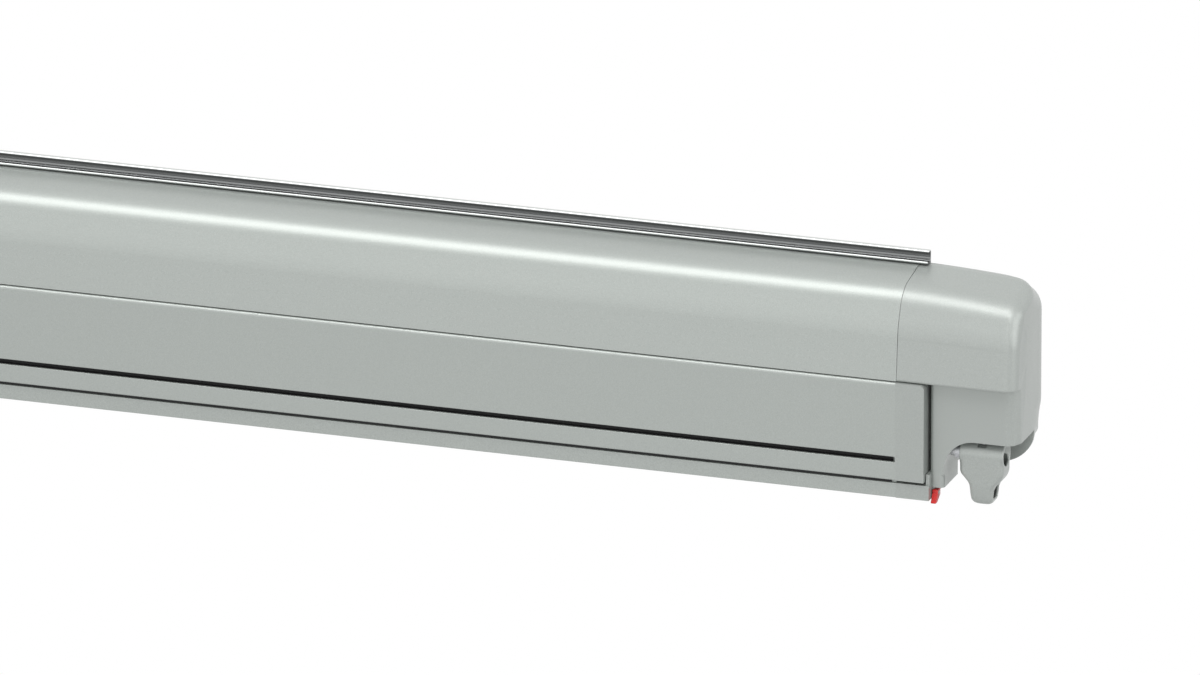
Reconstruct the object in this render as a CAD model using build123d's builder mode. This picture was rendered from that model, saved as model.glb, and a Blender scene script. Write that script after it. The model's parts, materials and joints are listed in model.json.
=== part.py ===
"""Roll-out awning in a wall cassette, closed, for the side of a caravan or camper.

X runs along the awning, +Y points at the wall, +Z is up, lengths are in millimetres.
The origin is on the wall face, halfway along, at the height of the parting line
between the fixed cover and the moving lead bar.
"""
import os
from math import asin, cos, degrees, hypot, pi, radians, sin

from build123d import *

os.makedirs("parts", exist_ok=True)

# Overall lengths
profile_half = 1228.0  # half the length of the long extrusions
cap_length = 78.0  # how far each end cap reaches past the extrusions
overrun = 5.0  # how far a cutting shape runs past the surface it opens
face_gap = 0.3  # rest gap between pieces of different bodies

# Cover section, measured from the wall and from the parting line
cover_depth = 86.0
brow_depth = 83.2
brow_height = 34.0
shoulder_depth = 73.5
shoulder_height = 57.2
ridge_depth = 41.0
ridge_height = 62.8
rear_top_height = 49.0
back_drop = 62.0
brow_radius = 40.0
shoulder_radius = 20.0
case_wall = 2.0
screw_port_radius = 5.0
plate_screw_radius = 2.1
plate_screw_head_radius = 2.9
plate_screw_length = 18.0
wall_hole_radius = 4.25
wall_hole_inset = 178.0  # from the ends of the extrusions
wall_hole_spacing_z = 56.0

# Gutter rail on the ridge
rail_height = 13.3
rail_depth = 9.5
rail_wall = 1.5
rail_lip_height = 3.4
rail_overhang = 6.0

# End caps
cap_wall = 3.0
cap_front_depth = 80.0
cap_leg_drop = 69.9
cap_rear_drop = 61.0
cap_step = 22.6  # where the lower front of the cap starts, past the extrusions
cap_step_depth = 58.0
cap_leg_width = 7.4
cap_end_fall = 4.5  # how much the ridge drops towards the end
cap_front_radius = 8.0
cap_rear_radius = 36.0
cap_top_radius = 14.0
cap_foot_radius = 15.0
arch_drop = 37.4
arch_depth = 50.0
arch_radius = 14.0
plate_thickness = 3.0
plate_gap = 0.5

# Roller and fabric
roller_depth = 46.0
roller_height = 21.0
roller_radius = 23.0
roller_wall = 1.6
roll_radius = 28.5
fabric_end_gap = 12.0
roller_end_gap = 5.0
plug_length = 30.0
stub_radius = 6.0
stub_running_gap = 0.05
bush_radius = 9.0
bush_flange_radius = 12.0
bush_flange = 1.5
fabric_thickness = 1.0
hem_depth = 70.0
hem_drop = 10.5
hem_radius = 3.5

# Winch gear: a two-start worm drives a wheel on the roller
winch_offset = 53.5  # winch axis, past the extrusions
worm_starts = 2
wheel_teeth = 14
wheel_pitch_radius = 17.0
worm_pitch_radius = 6.0
tooth_addendum = 2.0
tooth_dedendum = 2.4
tooth_thickness = 2.8
tooth_tip_share = 1 / 3  # half a tooth's width at its tip, as a share of the thickness
tooth_root_share = 2 / 3  # and at its root
wheel_width = 9.0
worm_length = 20.0
worm_shaft_radius = 4.0
worm_top_radius = 3.0
worm_neck_radius = 2.0
worm_ball_radius = 3.5
running_gap = 0.06
housing_wall = 1.6
housing_clearance = 0.8
housing_floor = 3.5
housing_tube_radius = 16.0

# Winch hood and crank eye
hood_pivot_drop = 47.4
hood_radius = 8.5
hood_left = 39.0
hood_right = 68.0
hood_wall = 1.5
hood_end_wall = 3.0
hood_bottom_drop = 79.6
hood_swing = 30.0
hood_cheek_drop = 58.9  # where the barrel's ends turn into the tongue
hood_tongue_left = 43.6
hood_tongue_right = 67.5
hood_tongue_drop = 64.8
hood_knee_left = 44.9
hood_knee_right = 64.8
hood_knee_drop = 73.4
hood_foot_left = 47.6
hood_foot_right = 60.8
hood_foot_radius = 4.0
hood_slot_half = 5.5
hood_axle_radius = 3.5
hood_axle_reach = 46.0
hood_collar_radius = 5.0
eye_socket_radius = 5.6
eye_stem_radius = 2.2
eye_ring_radius = 6.2
eye_hole_radius = 3.2
eye_thickness = 4.0
eye_drop = 66.5
hook_slot_half = 5.0
hook_slot_top = 61.0
hook_slot_bottom = 74.5

# Folding arms, drawn in a plane that falls away from the wall
arm_pitch = 8.0
arm_plane_height = -24.0
shoulder_pivot_depth = 18.0
arm_pivot_inset = 30.0  # from the ends of the extrusions
elbow_from_middle = 98.0  # folded elbows stay this far from the middle
fold_offset = 20.0  # how far each arm already steps forward when folded
arm_tube_width = 16.0
arm_tube_height = 24.0
arm_tube_wall = 1.8
arm_tube_corner = 5.0
upper_tube_offset = -3.0
forearm_tube_offset = -36.0
tube_start = 34.0  # tube ends stay this far from the pivots
plug_reach = 20.0
knuckle_radius = 11.0
neck_width = 12.0
ear_clear_radius = 18.0
neck_bend_share = 1 / 3  # how far the neck has moved to the tube's line at its bend
ear_thickness = 4.0
pivot_pin_radius = 5.0
pin_head_radius = 6.0
pin_head_height = 1.5
shoulder_half = 11.0
elbow_half = 8.0
hand_half = 8.0
hand_radius = 9.0
spring_radius = 5.0
spring_wire_radius = 1.0
spring_turns = 24
spring_length = 144.0
bracket_half_width = 22.0
bracket_base = 3.0
bracket_screw_radius = 2.9
bracket_screw_head_radius = 4.6

# Lead bar section
bar_depth = 88.0
bar_wall = 2.0
bar_web = 1.6
bar_top_gap = 0.6
bar_top_radius = 1.8
bar_face_drop = 65.3
bar_rear_depth = 66.0
hem_top_drop = 2.6
hem_floor_drop = 16.0
slot_top_drop = 49.7
slot_bottom_drop = 53.3
slot_inner_depth = 82.0
slot_side = 2.4
lip_depth = 86.0
lip_top_drop = 67.6
lip_bottom_drop = 77.4
leg_channel_top = 55.3
leg_channel_front = 82.5
leg_channel_rear = 61.5
bar_cap_length = 19.0
bar_cap_corner = 3.0
lip_end_length = 21.9
lip_end_upstand = 2.4
lip_end_top_drop = 60.4

# Support legs in the lead bar's lower channel
leg_pivot_inset = 16.0  # from the ends of the extrusions
leg_pivot_drop = 66.5
leg_width = 17.0
leg_height = 14.6
leg_wall = 1.5
leg_corner = 2.0
leg_tube_start = 18.0
leg_tip_x = 12.0
leg_slide_gap = 0.35
leg_eye_radius = 7.0
leg_eye_half = 5.5
leg_pin_radius = 3.0
leg_cheek = 3.0
leg_foot_length = 9.0
leg_inner_overlap = 120.0
clamp_length = 36.0
clamp_thickness = 2.6
clamp_from_tip = 52.0
clamp_pin_radius = 0.7

# Release tabs beside the lead bar's lower ends
tab_inner = 22.4
tab_outer = 26.0
tab_front_depth = 84.0
tab_rear_depth = 74.0
tab_top_drop = 71.6
tab_bottom_drop = 79.6
tab_pin_radius = 1.4
tab_pin_drop = 74.0
tab_pin_depth = 76.5

# Worked out from the sizes above
profile_length = 2 * profile_half
cap_end = profile_half + cap_length
wall_hole_spacing_x = 2 * (profile_half - wall_hole_inset)
fabric_half_width = profile_half - fabric_end_gap
arm_pivot_x = profile_half - arm_pivot_inset
leg_pivot_x = profile_half - leg_pivot_inset
elbow_x = elbow_from_middle
arm_length = hypot(arm_pivot_x - elbow_x, fold_offset)
worm_depth = roller_depth + wheel_pitch_radius + worm_pitch_radius
winch_x = profile_half + winch_offset
wheel_outer_radius = wheel_pitch_radius + tooth_addendum
wheel_root_radius = wheel_pitch_radius - tooth_dedendum
worm_outer_radius = worm_pitch_radius + tooth_addendum
worm_root_radius = worm_pitch_radius - tooth_dedendum
worm_lead = worm_starts * 2 * pi * wheel_pitch_radius / wheel_teeth
thread_length = worm_length - 2 * tooth_thickness
arm_plane = Plane(
    origin=(0, -shoulder_pivot_depth, arm_plane_height),
    x_dir=(1, 0, 0),
    z_dir=(0, -sin(radians(arm_pitch)), cos(radians(arm_pitch))),
)


def save(piece, label):
    """Label one finished piece and write it."""
    piece.part.label = label
    export_step(piece.part, f"parts/{label}.step")


def save_pair(piece, label):
    """Write a right-hand piece and its mirror image for the left-hand end."""
    save(piece, f"{label}_right")
    with BuildPart() as twin:
        mirror(piece.part, about=Plane.YZ)
    save(twin, f"{label}_left")


def save_both_ends(piece, label):
    """Write a right-hand piece and its mirror image as one group of solids."""
    with BuildPart() as group:
        add(piece.part)
        mirror(piece.part, about=Plane.YZ)
    save(group, label)


def box_between(low, high, mode=Mode.ADD):
    """Add or cut a block given by two opposite corners."""
    centre = [(a + b) / 2 for a, b in zip(low, high)]
    size = [b - a for a, b in zip(low, high)]
    with Locations(tuple(centre)):
        Box(*size, mode=mode)


def rectangle_between(low, high, mode=Mode.ADD):
    """Add or cut a rectangle given by two opposite corners."""
    with Locations(((low[0] + high[0]) / 2, (low[1] + high[1]) / 2)):
        Rectangle(high[0] - low[0], high[1] - low[1], mode=mode)


def rod_along(axis_plane, radius, length, mode=Mode.ADD):
    """Add or cut a round bar that starts on a plane and runs along its normal."""
    with BuildSketch(axis_plane) as disc:
        Circle(radius)
    extrude(disc.sketch, amount=length, mode=mode)


def cover_section():
    """Draw the filled section of the cover above the parting line, as Y and Z."""
    with BuildLine() as outline:
        FilletPolyline(
            (-cover_depth, 0),
            (-brow_depth, brow_height),
            (-shoulder_depth, shoulder_height),
            (-ridge_depth, ridge_height),
            radius=[brow_radius, shoulder_radius],
        )
        Polyline(
            (-ridge_depth, ridge_height),
            (rail_depth - ridge_depth, ridge_height),
            (0, rear_top_height),
            (0, 0),
            (-cover_depth, 0),
        )
    make_face(outline.edges())


# Case: the long extrusion on the wall, open below and in front for the lead bar
screw_port_places = [
    (-(case_wall / 2 + screw_port_radius), rear_top_height - 2 * screw_port_radius),
    (-(case_wall / 2 + screw_port_radius), -(back_drop - 2 * screw_port_radius)),
    (-(cover_depth - case_wall - screw_port_radius), 2 * screw_port_radius),
]


def make_case_profile():
    with BuildPart() as profile:
        with BuildSketch(Plane.YZ.offset(-profile_half)):
            cover_section()
            offset(amount=-case_wall, mode=Mode.SUBTRACT)
            rectangle_between(
                (-cover_depth + case_wall, -overrun), (-case_wall, case_wall), mode=Mode.SUBTRACT
            )
            rectangle_between((-case_wall, -back_drop), (0, case_wall))
            with Locations(*screw_port_places):
                Circle(screw_port_radius)
                Circle(plate_screw_radius, mode=Mode.SUBTRACT)
        extrude(amount=profile_length)
        with BuildSketch(Plane.XZ.offset(case_wall + overrun)):
            with GridLocations(wall_hole_spacing_x, wall_hole_spacing_z, 2, 2):
                Circle(wall_hole_radius)
        extrude(amount=-(case_wall + 2 * overrun), mode=Mode.SUBTRACT)
        with BuildSketch(Plane.XZ.offset(case_wall + bracket_base)):
            with Locations(*bracket_screw_places()):
                Circle(bracket_screw_radius)
        extrude(amount=-(bracket_base + case_wall), mode=Mode.SUBTRACT)
    save(profile, "case_profile")


def bracket_screw_places():
    """Places of the shoulder bracket screws at both ends, as X and Z."""
    side = bracket_half_width - 2 * bracket_screw_radius
    rise = bracket_half_width - bracket_screw_radius - face_gap
    return [
        (end * arm_pivot_x + x, arm_plane_height + z)
        for end in (-1, 1)
        for x in (-side, side)
        for z in (-rise, rise)
    ]


def make_gutter_rail():
    front = -ridge_depth
    back = front + rail_depth
    top = ridge_height + rail_height
    with BuildPart() as rail:
        with BuildSketch(Plane.YZ.offset(-profile_half - rail_overhang)):
            rectangle_between((front, ridge_height), (back, top))
            rectangle_between(
                (front - overrun, ridge_height + rail_wall),
                (back - rail_wall, top - rail_wall),
                mode=Mode.SUBTRACT,
            )
            rectangle_between((front, ridge_height), (front + rail_wall, ridge_height + rail_lip_height))
            rectangle_between((front, top - rail_lip_height), (front + rail_wall, top))
        extrude(amount=profile_length + 2 * rail_overhang)
    save(rail, "gutter_rail")


# End caps: hollow shells with a recess for the lead bar's end and an arch for the winch
def cap_volume(inset):
    """Volume of the right-hand cap, drawn in by an inset on every closed side."""
    upper_top = 2 * inset
    plan_left = profile_half - inset
    leg_right = profile_half + cap_step + cap_leg_width
    with BuildPart() as upper:
        with BuildSketch(Plane.YZ.offset(profile_half)):
            cover_section()
            if inset:
                offset(amount=-inset, mode=Mode.REPLACE)
        extrude(amount=cap_length)
        cut_cap_plan(plan_left, cover_depth, inset)
    with BuildPart() as lower:
        with BuildSketch(Plane.YZ.offset(profile_half)):
            rectangle_between((-cap_front_depth + inset, -cap_rear_drop + inset), (-inset, upper_top))
            rectangle_between((-cap_front_depth + inset, -cap_leg_drop + inset), (-arch_depth - inset, 0))
        extrude(amount=cap_length)
        cut_cap_plan(plan_left, cap_front_depth, inset)
    with BuildPart() as volume:
        add(upper.part)
        add(lower.part)
        with BuildSketch(Plane.XZ) as silhouette:
            with BuildLine():
                Polyline(
                    (plan_left, ridge_height),
                    (cap_end, ridge_height - cap_end_fall),
                    (cap_end, -cap_rear_drop),
                    (leg_right, -cap_rear_drop),
                    (leg_right, -cap_leg_drop),
                    (plan_left, -cap_leg_drop),
                    close=True,
                )
            make_face()
            end_corners = silhouette.vertices().group_by(Axis.X)[-1].sort_by(Axis.Y)
            fillet(end_corners[0], radius=cap_foot_radius)
            top_corner = silhouette.vertices().group_by(Axis.X)[-1].sort_by(Axis.Y)[-1]
            fillet(top_corner, radius=cap_top_radius)
            if inset:
                offset(amount=-inset, mode=Mode.REPLACE)
                rectangle_between((profile_half, -cap_leg_drop + inset), (winch_x, shoulder_height - inset))
        extrude(amount=cover_depth + overrun, mode=Mode.INTERSECT)
        box_between(
            (profile_half - overrun, -cover_depth - overrun, -cap_leg_drop - overrun),
            (profile_half + cap_step + inset, -cap_step_depth + inset, inset),
            mode=Mode.SUBTRACT,
        )
        with BuildSketch(Plane.XZ.offset(arch_depth - inset)) as arch:
            rectangle_between(
                (leg_right - inset, -cap_leg_drop - overrun),
                (cap_end + overrun, -arch_drop + inset),
            )
            fillet(arch.vertices().group_by(Axis.X)[0].sort_by(Axis.Y)[-1], radius=arch_radius)
        extrude(amount=cover_depth, mode=Mode.SUBTRACT)
    return volume.part


def cut_cap_plan(plan_left, front_depth, inset):
    """Keep what lies inside the cap's plan, whose outer corners are rounded."""
    with BuildSketch(Plane.XY) as plan:
        rectangle_between((plan_left, -front_depth), (cap_end, 0))
        end_corners = plan.vertices().group_by(Axis.X)[-1].sort_by(Axis.Y)
        fillet(end_corners[0], radius=cap_front_radius)
        fillet(plan.vertices().group_by(Axis.Y)[-1].sort_by(Axis.X)[-1], radius=cap_rear_radius)
        if inset:
            offset(amount=-inset, mode=Mode.REPLACE)
    extrude(plan.sketch, amount=cover_depth + overrun, both=True, mode=Mode.INTERSECT)


def make_end_caps():
    outer = cap_volume(0)
    inner = cap_volume(cap_wall)
    with BuildPart() as plain_cap:
        add(outer)
        add(inner, mode=Mode.SUBTRACT)
    with BuildPart() as winch_cap:
        add(plain_cap.part)
        shaft_hole = Plane(origin=(winch_x, -worm_depth, -arch_drop - overrun), z_dir=(0, 0, 1))
        shaft_hole_radius = worm_shaft_radius + housing_clearance
        rod_along(shaft_hole, shaft_hole_radius, cap_wall + 2 * overrun, mode=Mode.SUBTRACT)
        axle_hole = hood_axle_plane(cap_step - overrun)
        rod_along(axle_hole, hood_axle_radius, cap_leg_width + 2 * overrun, mode=Mode.SUBTRACT)
    save(winch_cap, "end_cap_right")
    with BuildPart() as far_cap:
        mirror(plain_cap.part, about=Plane.YZ)
    save(far_cap, "end_cap_left")


# Side plates close the ends of the case and carry the roller
def make_side_plates():
    inset = cap_wall + plate_gap
    with BuildPart() as plate:
        with BuildSketch(Plane.YZ.offset(profile_half)):
            cover_section()
            offset(amount=-inset, mode=Mode.REPLACE)
            rectangle_between((-cap_step_depth + inset, -cap_rear_drop + inset), (-inset, inset))
            with Locations((-roller_depth, roller_height)):
                Circle(bush_radius, mode=Mode.SUBTRACT)
            with Locations(*screw_port_places):
                Circle(plate_screw_radius, mode=Mode.SUBTRACT)
        extrude(amount=plate_thickness)
    save_pair(plate, "side_plate")


def make_plate_screws():
    start = Plane.YZ.offset(profile_half + plate_thickness)
    with BuildPart() as screws:
        with BuildSketch(start):
            with Locations(*screw_port_places):
                Circle(plate_screw_radius)
        extrude(amount=-plate_screw_length)
        with BuildSketch(start):
            with Locations(*screw_port_places):
                Circle(plate_screw_head_radius)
                RegularPolygon(plate_screw_radius, 6, mode=Mode.SUBTRACT)
        extrude(amount=plate_screw_radius)
        with BuildSketch(start):
            with Locations(*screw_port_places):
                Circle(plate_screw_head_radius)
        extrude(amount=plate_screw_radius / 2)
    save_both_ends(screws, "plate_screws")


def make_roller_bearings():
    with BuildPart() as bush:
        with BuildSketch(Plane.YZ.offset(profile_half - bush_flange)):
            with Locations((-roller_depth, roller_height)):
                Circle(bush_flange_radius)
        extrude(amount=bush_flange)
        with BuildSketch(Plane.YZ.offset(profile_half)):
            with Locations((-roller_depth, roller_height)):
                Circle(bush_radius)
        extrude(amount=plate_thickness)
        with BuildSketch(Plane.YZ.offset(profile_half - bush_flange)):
            with Locations((-roller_depth, roller_height)):
                Circle(stub_radius + stub_running_gap)
        extrude(amount=bush_flange + plate_thickness, mode=Mode.SUBTRACT)
    save_both_ends(bush, "roller_bearings")


# Roller: a grooved tube with an end plug at each side, the wound fabric and the wheel
def roller_axis(x):
    """Plane across the roller's axis at a place along the awning."""
    return Plane(origin=(x, -roller_depth, roller_height), x_dir=(0, 1, 0), z_dir=(1, 0, 0))


def make_roller():
    tube_half = profile_half - roller_end_gap
    with BuildPart() as tube:
        with BuildSketch(roller_axis(-tube_half)):
            Circle(roller_radius)
            Circle(roller_radius - roller_wall, mode=Mode.SUBTRACT)
            with Locations((0, -(roller_radius - hem_radius))):
                Circle(hem_radius)
                Circle(hem_radius - roller_wall, mode=Mode.SUBTRACT)
        extrude(amount=2 * tube_half)
    save(tube, "roller_tube")

    with BuildPart() as plug:
        with BuildSketch(roller_axis(tube_half - plug_length)):
            Circle(roller_radius - roller_wall)
            with Locations((0, -(roller_radius - hem_radius))):
                Circle(hem_radius + running_gap, mode=Mode.SUBTRACT)
        extrude(amount=plug_length)
        rod_along(roller_axis(tube_half), bush_radius, roller_end_gap - bush_flange - face_gap)
        rod_along(roller_axis(tube_half), stub_radius, roller_end_gap + plate_thickness + bush_flange)
    with BuildPart() as drive_plug:
        add(plug.part)
        rod_along(roller_axis(tube_half), stub_radius, roller_end_gap + winch_offset + wheel_width)
    save(drive_plug, "roller_plug_right")
    with BuildPart() as far_plug:
        mirror(plug.part, about=Plane.YZ)
    save(far_plug, "roller_plug_left")

    with BuildPart() as roll:
        with BuildSketch(roller_axis(-fabric_half_width)):
            Circle(roll_radius)
            Circle(roller_radius + running_gap, mode=Mode.SUBTRACT)
        extrude(amount=2 * fabric_half_width)
    save(roll, "fabric_roll")


def wheel_blade(angle):
    """One slanted tooth of the worm wheel, turned to its place."""
    width_start = winch_x - wheel_width / 2
    slant = degrees(worm_lead / (2 * pi * worm_pitch_radius) * wheel_width / wheel_pitch_radius)
    half_tip = tooth_thickness * tooth_tip_share
    half_root = tooth_thickness * tooth_root_share
    root = wheel_root_radius - tooth_addendum / 2
    with BuildPart() as blade:
        for x, turn in ((0, -slant / 2), (wheel_width, slant / 2)):
            outward = radians(angle + turn)
            across = Plane(
                origin=(width_start + x, -roller_depth, roller_height),
                x_dir=(0, cos(outward), sin(outward)),
                z_dir=(1, 0, 0),
            )
            with BuildSketch(across):
                Polygon(
                    (root, -half_root),
                    (wheel_outer_radius, -half_tip),
                    (wheel_outer_radius, half_tip),
                    (root, half_root),
                    align=None,
                )
        loft(ruled=True)
    return blade.part


def make_worm_wheel():
    """Wheel whose slanted teeth follow the worm's lead."""
    width_start = winch_x - wheel_width / 2
    blades = [wheel_blade((tooth + 0.5) * 360 / wheel_teeth + 180) for tooth in range(wheel_teeth)]
    with BuildPart() as wheel:
        rod_along(roller_axis(width_start), wheel_root_radius, wheel_width)
        add(blades)
        rod_along(roller_axis(width_start), stub_radius, wheel_width, mode=Mode.SUBTRACT)
    save(wheel, "worm_wheel")


def worm_axis(height):
    """Plane across the upright worm axis at a height."""
    return Plane(origin=(winch_x, -worm_depth, height), z_dir=(0, 0, 1))


def worm_thread(turn):
    """One thread of the worm, starting at an angle round its axis."""
    half_root = tooth_thickness * tooth_root_share
    half_tip = tooth_thickness * tooth_tip_share
    root = worm_root_radius - tooth_addendum / 4
    start = radians(turn)
    base = (winch_x, -worm_depth, roller_height - thread_length / 2)
    with BuildLine() as path:
        Helix(pitch=worm_lead, height=thread_length, radius=worm_pitch_radius, center=base)
    helix = path.line.rotate(Axis(base, (0, 0, 1)), turn)
    across = Plane(origin=helix @ 0, x_dir=(cos(start), sin(start), 0), z_dir=(-sin(start), cos(start), 0))
    with BuildPart() as thread:
        with BuildSketch(across):
            Polygon(
                (root - worm_pitch_radius, -half_root),
                (tooth_addendum, -half_tip),
                (tooth_addendum, half_tip),
                (root - worm_pitch_radius, half_root),
                align=None,
            )
        sweep(path=helix, is_frenet=True)
    return thread.part


def make_worm_shaft():
    worm_base = roller_height - worm_length / 2
    first_turn = 90 - 360 * (thread_length / 2) / worm_lead
    threads = [worm_thread(first_turn + start * 360 / worm_starts) for start in range(worm_starts)]
    neck_top = -(arch_drop - overrun / 4)
    with BuildPart() as shaft:
        rod_along(worm_axis(worm_base), worm_root_radius, worm_length)
        add(threads)
        top_length = housing_floor + 2 * housing_clearance
        rod_along(worm_axis(worm_base + worm_length), worm_top_radius, top_length)
        rod_along(worm_axis(neck_top), worm_shaft_radius, worm_base - neck_top)
        rod_along(worm_axis(-hood_pivot_drop), worm_neck_radius, hood_pivot_drop + neck_top)
        with Locations((winch_x, -worm_depth, -hood_pivot_drop)):
            Sphere(worm_ball_radius)
    save(shaft, "worm_shaft")


def make_gearbox_housing():
    """Casting round the wheel and the worm, with a bearing neck above the hood."""
    chamber = wheel_outer_radius + housing_clearance
    tower = worm_outer_radius + housing_clearance
    inner_face = profile_half + plate_thickness
    chamber_start = winch_x - wheel_width / 2 - housing_clearance
    chamber_width = wheel_width + 2 * housing_clearance
    worm_base = roller_height - worm_length / 2
    neck_bottom = -(arch_drop - cap_wall - face_gap)
    neck_length = worm_base - neck_bottom
    drum_start = roller_axis(chamber_start - housing_wall)
    drum_width = chamber_width + 2 * housing_wall
    tube_length = chamber_start - inner_face
    with BuildPart() as housing:
        rod_along(roller_axis(inner_face), housing_tube_radius, tube_length)
        rod_along(drum_start, chamber + housing_wall, drum_width)
        tower_base = worm_axis(worm_base - housing_floor)
        rod_along(tower_base, tower + housing_wall, worm_length + 2 * housing_floor)
        rod_along(worm_axis(neck_bottom), worm_shaft_radius + housing_wall, neck_length)
        rod_along(roller_axis(chamber_start), chamber, chamber_width, mode=Mode.SUBTRACT)
        bore_base = worm_axis(worm_base - housing_clearance)
        rod_along(bore_base, tower, worm_length + 2 * housing_clearance, mode=Mode.SUBTRACT)
        rod_along(roller_axis(inner_face), bush_radius, tube_length - housing_wall, mode=Mode.SUBTRACT)
        rod_along(drum_start, stub_radius + stub_running_gap, drum_width, mode=Mode.SUBTRACT)
        rod_along(
            worm_axis(neck_bottom), worm_shaft_radius + running_gap, neck_length, mode=Mode.SUBTRACT
        )
        top_bore = worm_axis(worm_base + worm_length)
        rod_along(top_bore, worm_top_radius + running_gap, 2 * housing_floor, mode=Mode.SUBTRACT)
    save(housing, "gearbox_housing")


# Winch hood, its axle and the crank eye inside it
def hood_axle_plane(past_profile):
    """Plane across the hood's axle at a place past the extrusions."""
    return Plane(
        origin=(profile_half + past_profile, -worm_depth, -hood_pivot_drop), x_dir=(0, 1, 0), z_dir=(1, 0, 0)
    )


def make_hood_axle():
    collar_start = cap_step + cap_leg_width + hood_collar_radius
    with BuildPart() as axle:
        rod_along(hood_axle_plane(cap_step), hood_axle_radius, hood_axle_reach - cap_step)
        rod_along(hood_axle_plane(collar_start), hood_collar_radius, hood_left - collar_start - face_gap)
    save(axle, "hood_axle")


def make_winch_hood():
    centre = -hood_pivot_drop
    front = Plane.XZ.offset(worm_depth - hood_radius)
    left = profile_half + hood_left
    with BuildPart() as hood:
        rod_along(hood_axle_plane(hood_left), hood_radius, hood_right - hood_left)
        with BuildSketch(front):
            with BuildLine():
                Polyline(
                    (left, centre),
                    (left, -hood_cheek_drop),
                    (profile_half + hood_tongue_left, -hood_tongue_drop),
                    (profile_half + hood_knee_left, -hood_knee_drop),
                    (profile_half + hood_foot_left, -hood_bottom_drop),
                    (profile_half + hood_foot_right, -hood_bottom_drop),
                    (profile_half + hood_knee_right, -hood_knee_drop),
                    (profile_half + hood_tongue_right, -hood_cheek_drop),
                    (profile_half + hood_right, centre),
                    close=True,
                )
            make_face()
        extrude(amount=2 * hood_radius)
        with BuildSketch(hood_axle_plane(hood_left - overrun)) as side:
            rectangle_between((-hood_radius, hood_pivot_drop - hood_bottom_drop), (hood_radius, hood_radius))
            fillet(side.vertices().group_by(Axis.Y)[0], radius=hood_foot_radius)
        extrude(amount=hood_right - hood_left + 2 * overrun, mode=Mode.INTERSECT)
        barrel_bore = hood_axle_plane(hood_left + hood_end_wall)
        bore_radius = hood_radius - hood_wall
        rod_along(barrel_bore, bore_radius, hood_right - hood_left, mode=Mode.SUBTRACT)
        axle_bore = hood_axle_plane(hood_left - overrun)
        axle_bore_length = 2 * hood_end_wall + overrun
        rod_along(axle_bore, hood_axle_radius + running_gap, axle_bore_length, mode=Mode.SUBTRACT)
        box_between(
            (winch_x - bore_radius, -worm_depth - bore_radius, -hood_knee_drop),
            (winch_x + bore_radius, -worm_depth + bore_radius, centre),
            mode=Mode.SUBTRACT,
        )
        box_between(
            (
                profile_half + hood_foot_left + 2 * hood_wall,
                -worm_depth - hood_slot_half,
                -hood_bottom_drop - overrun,
            ),
            (profile_half + hood_foot_right - hood_wall, -worm_depth + hood_slot_half, -hood_knee_drop + overrun),
            mode=Mode.SUBTRACT,
        )
        box_between(
            (winch_x, -worm_depth - hook_slot_half, -hook_slot_bottom),
            (profile_half + hood_right + overrun, -worm_depth + hook_slot_half, -hook_slot_top),
            mode=Mode.SUBTRACT,
        )
        cut_shaft_slot()
    save(hood, "winch_hood")


def cut_shaft_slot():
    """Open the barrel's top where the shaft's neck passes as the hood swings."""
    half_width = worm_neck_radius + housing_clearance
    half_angle = degrees(asin(half_width / hood_radius))
    reach = 2 * hood_radius
    back_angle = radians(90 - half_angle)
    front_angle = radians(90 + hood_swing + half_angle)
    with BuildSketch(hood_axle_plane(winch_offset - half_width)) as sector:
        Polygon(
            (0, 0),
            (reach * cos(back_angle), reach * sin(back_angle)),
            (0, reach / sin(back_angle)),
            (reach * cos(front_angle), reach * sin(front_angle)),
            align=None,
        )
    extrude(sector.sketch, amount=2 * half_width, mode=Mode.SUBTRACT)


def make_crank_eye():
    """Socket under the shaft's ball, a stem and a ring for the crank's hook."""
    socket_gap = worm_ball_radius + face_gap
    eye_plane = Plane(
        origin=(winch_x - eye_thickness / 2, -worm_depth, -eye_drop), x_dir=(0, 1, 0), z_dir=(1, 0, 0)
    )
    with BuildPart() as eye:
        with Locations((winch_x, -worm_depth, -hood_pivot_drop)):
            Sphere(eye_socket_radius)
        rod_along(worm_axis(-hood_pivot_drop), hood_radius, hood_radius, mode=Mode.SUBTRACT)
        with Locations((winch_x, -worm_depth, -hood_pivot_drop)):
            Sphere(socket_gap, mode=Mode.SUBTRACT)
        stem_base = -eye_drop + eye_hole_radius + face_gap
        stem_top = -hood_pivot_drop - socket_gap
        rod_along(worm_axis(stem_base), eye_stem_radius, stem_top - stem_base)
        rod_along(eye_plane, eye_ring_radius, eye_thickness)
        rod_along(eye_plane, eye_hole_radius, eye_thickness, mode=Mode.SUBTRACT)
    save(eye, "crank_eye")


# Fabric between the roller and the lead bar, and the rod in its hem
def make_fabric():
    sheet_height = roller_height - roll_radius - face_gap
    with BuildPart() as sheet:
        with BuildSketch(Plane.YZ.offset(-fabric_half_width)):
            with BuildLine():
                Polyline(
                    (-roller_depth, sheet_height),
                    (-hem_depth + hem_radius + face_gap, -hem_drop + fabric_thickness / 2),
                    (-hem_depth + hem_radius + face_gap, -hem_drop - fabric_thickness / 2),
                    (-roller_depth, sheet_height - fabric_thickness),
                    close=True,
                )
            make_face()
        extrude(amount=2 * fabric_half_width)
    save(sheet, "fabric_sheet")
    with BuildPart() as rod:
        with BuildSketch(Plane.YZ.offset(-fabric_half_width)):
            with Locations((-hem_depth, -hem_drop)):
                Circle(hem_radius)
        extrude(amount=2 * fabric_half_width)
    save(rod, "fabric_hem_rod")


# Arms: each is an upper arm on the case and a forearm to the lead bar
def tube_outline(inset=0.0, mode=Mode.ADD):
    """Rounded outline of an arm tube in the plane across it, or of its bore."""
    RectangleRounded(
        arm_tube_width - 2 * inset, arm_tube_height - 2 * inset, arm_tube_corner - inset, mode=mode
    )


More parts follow.
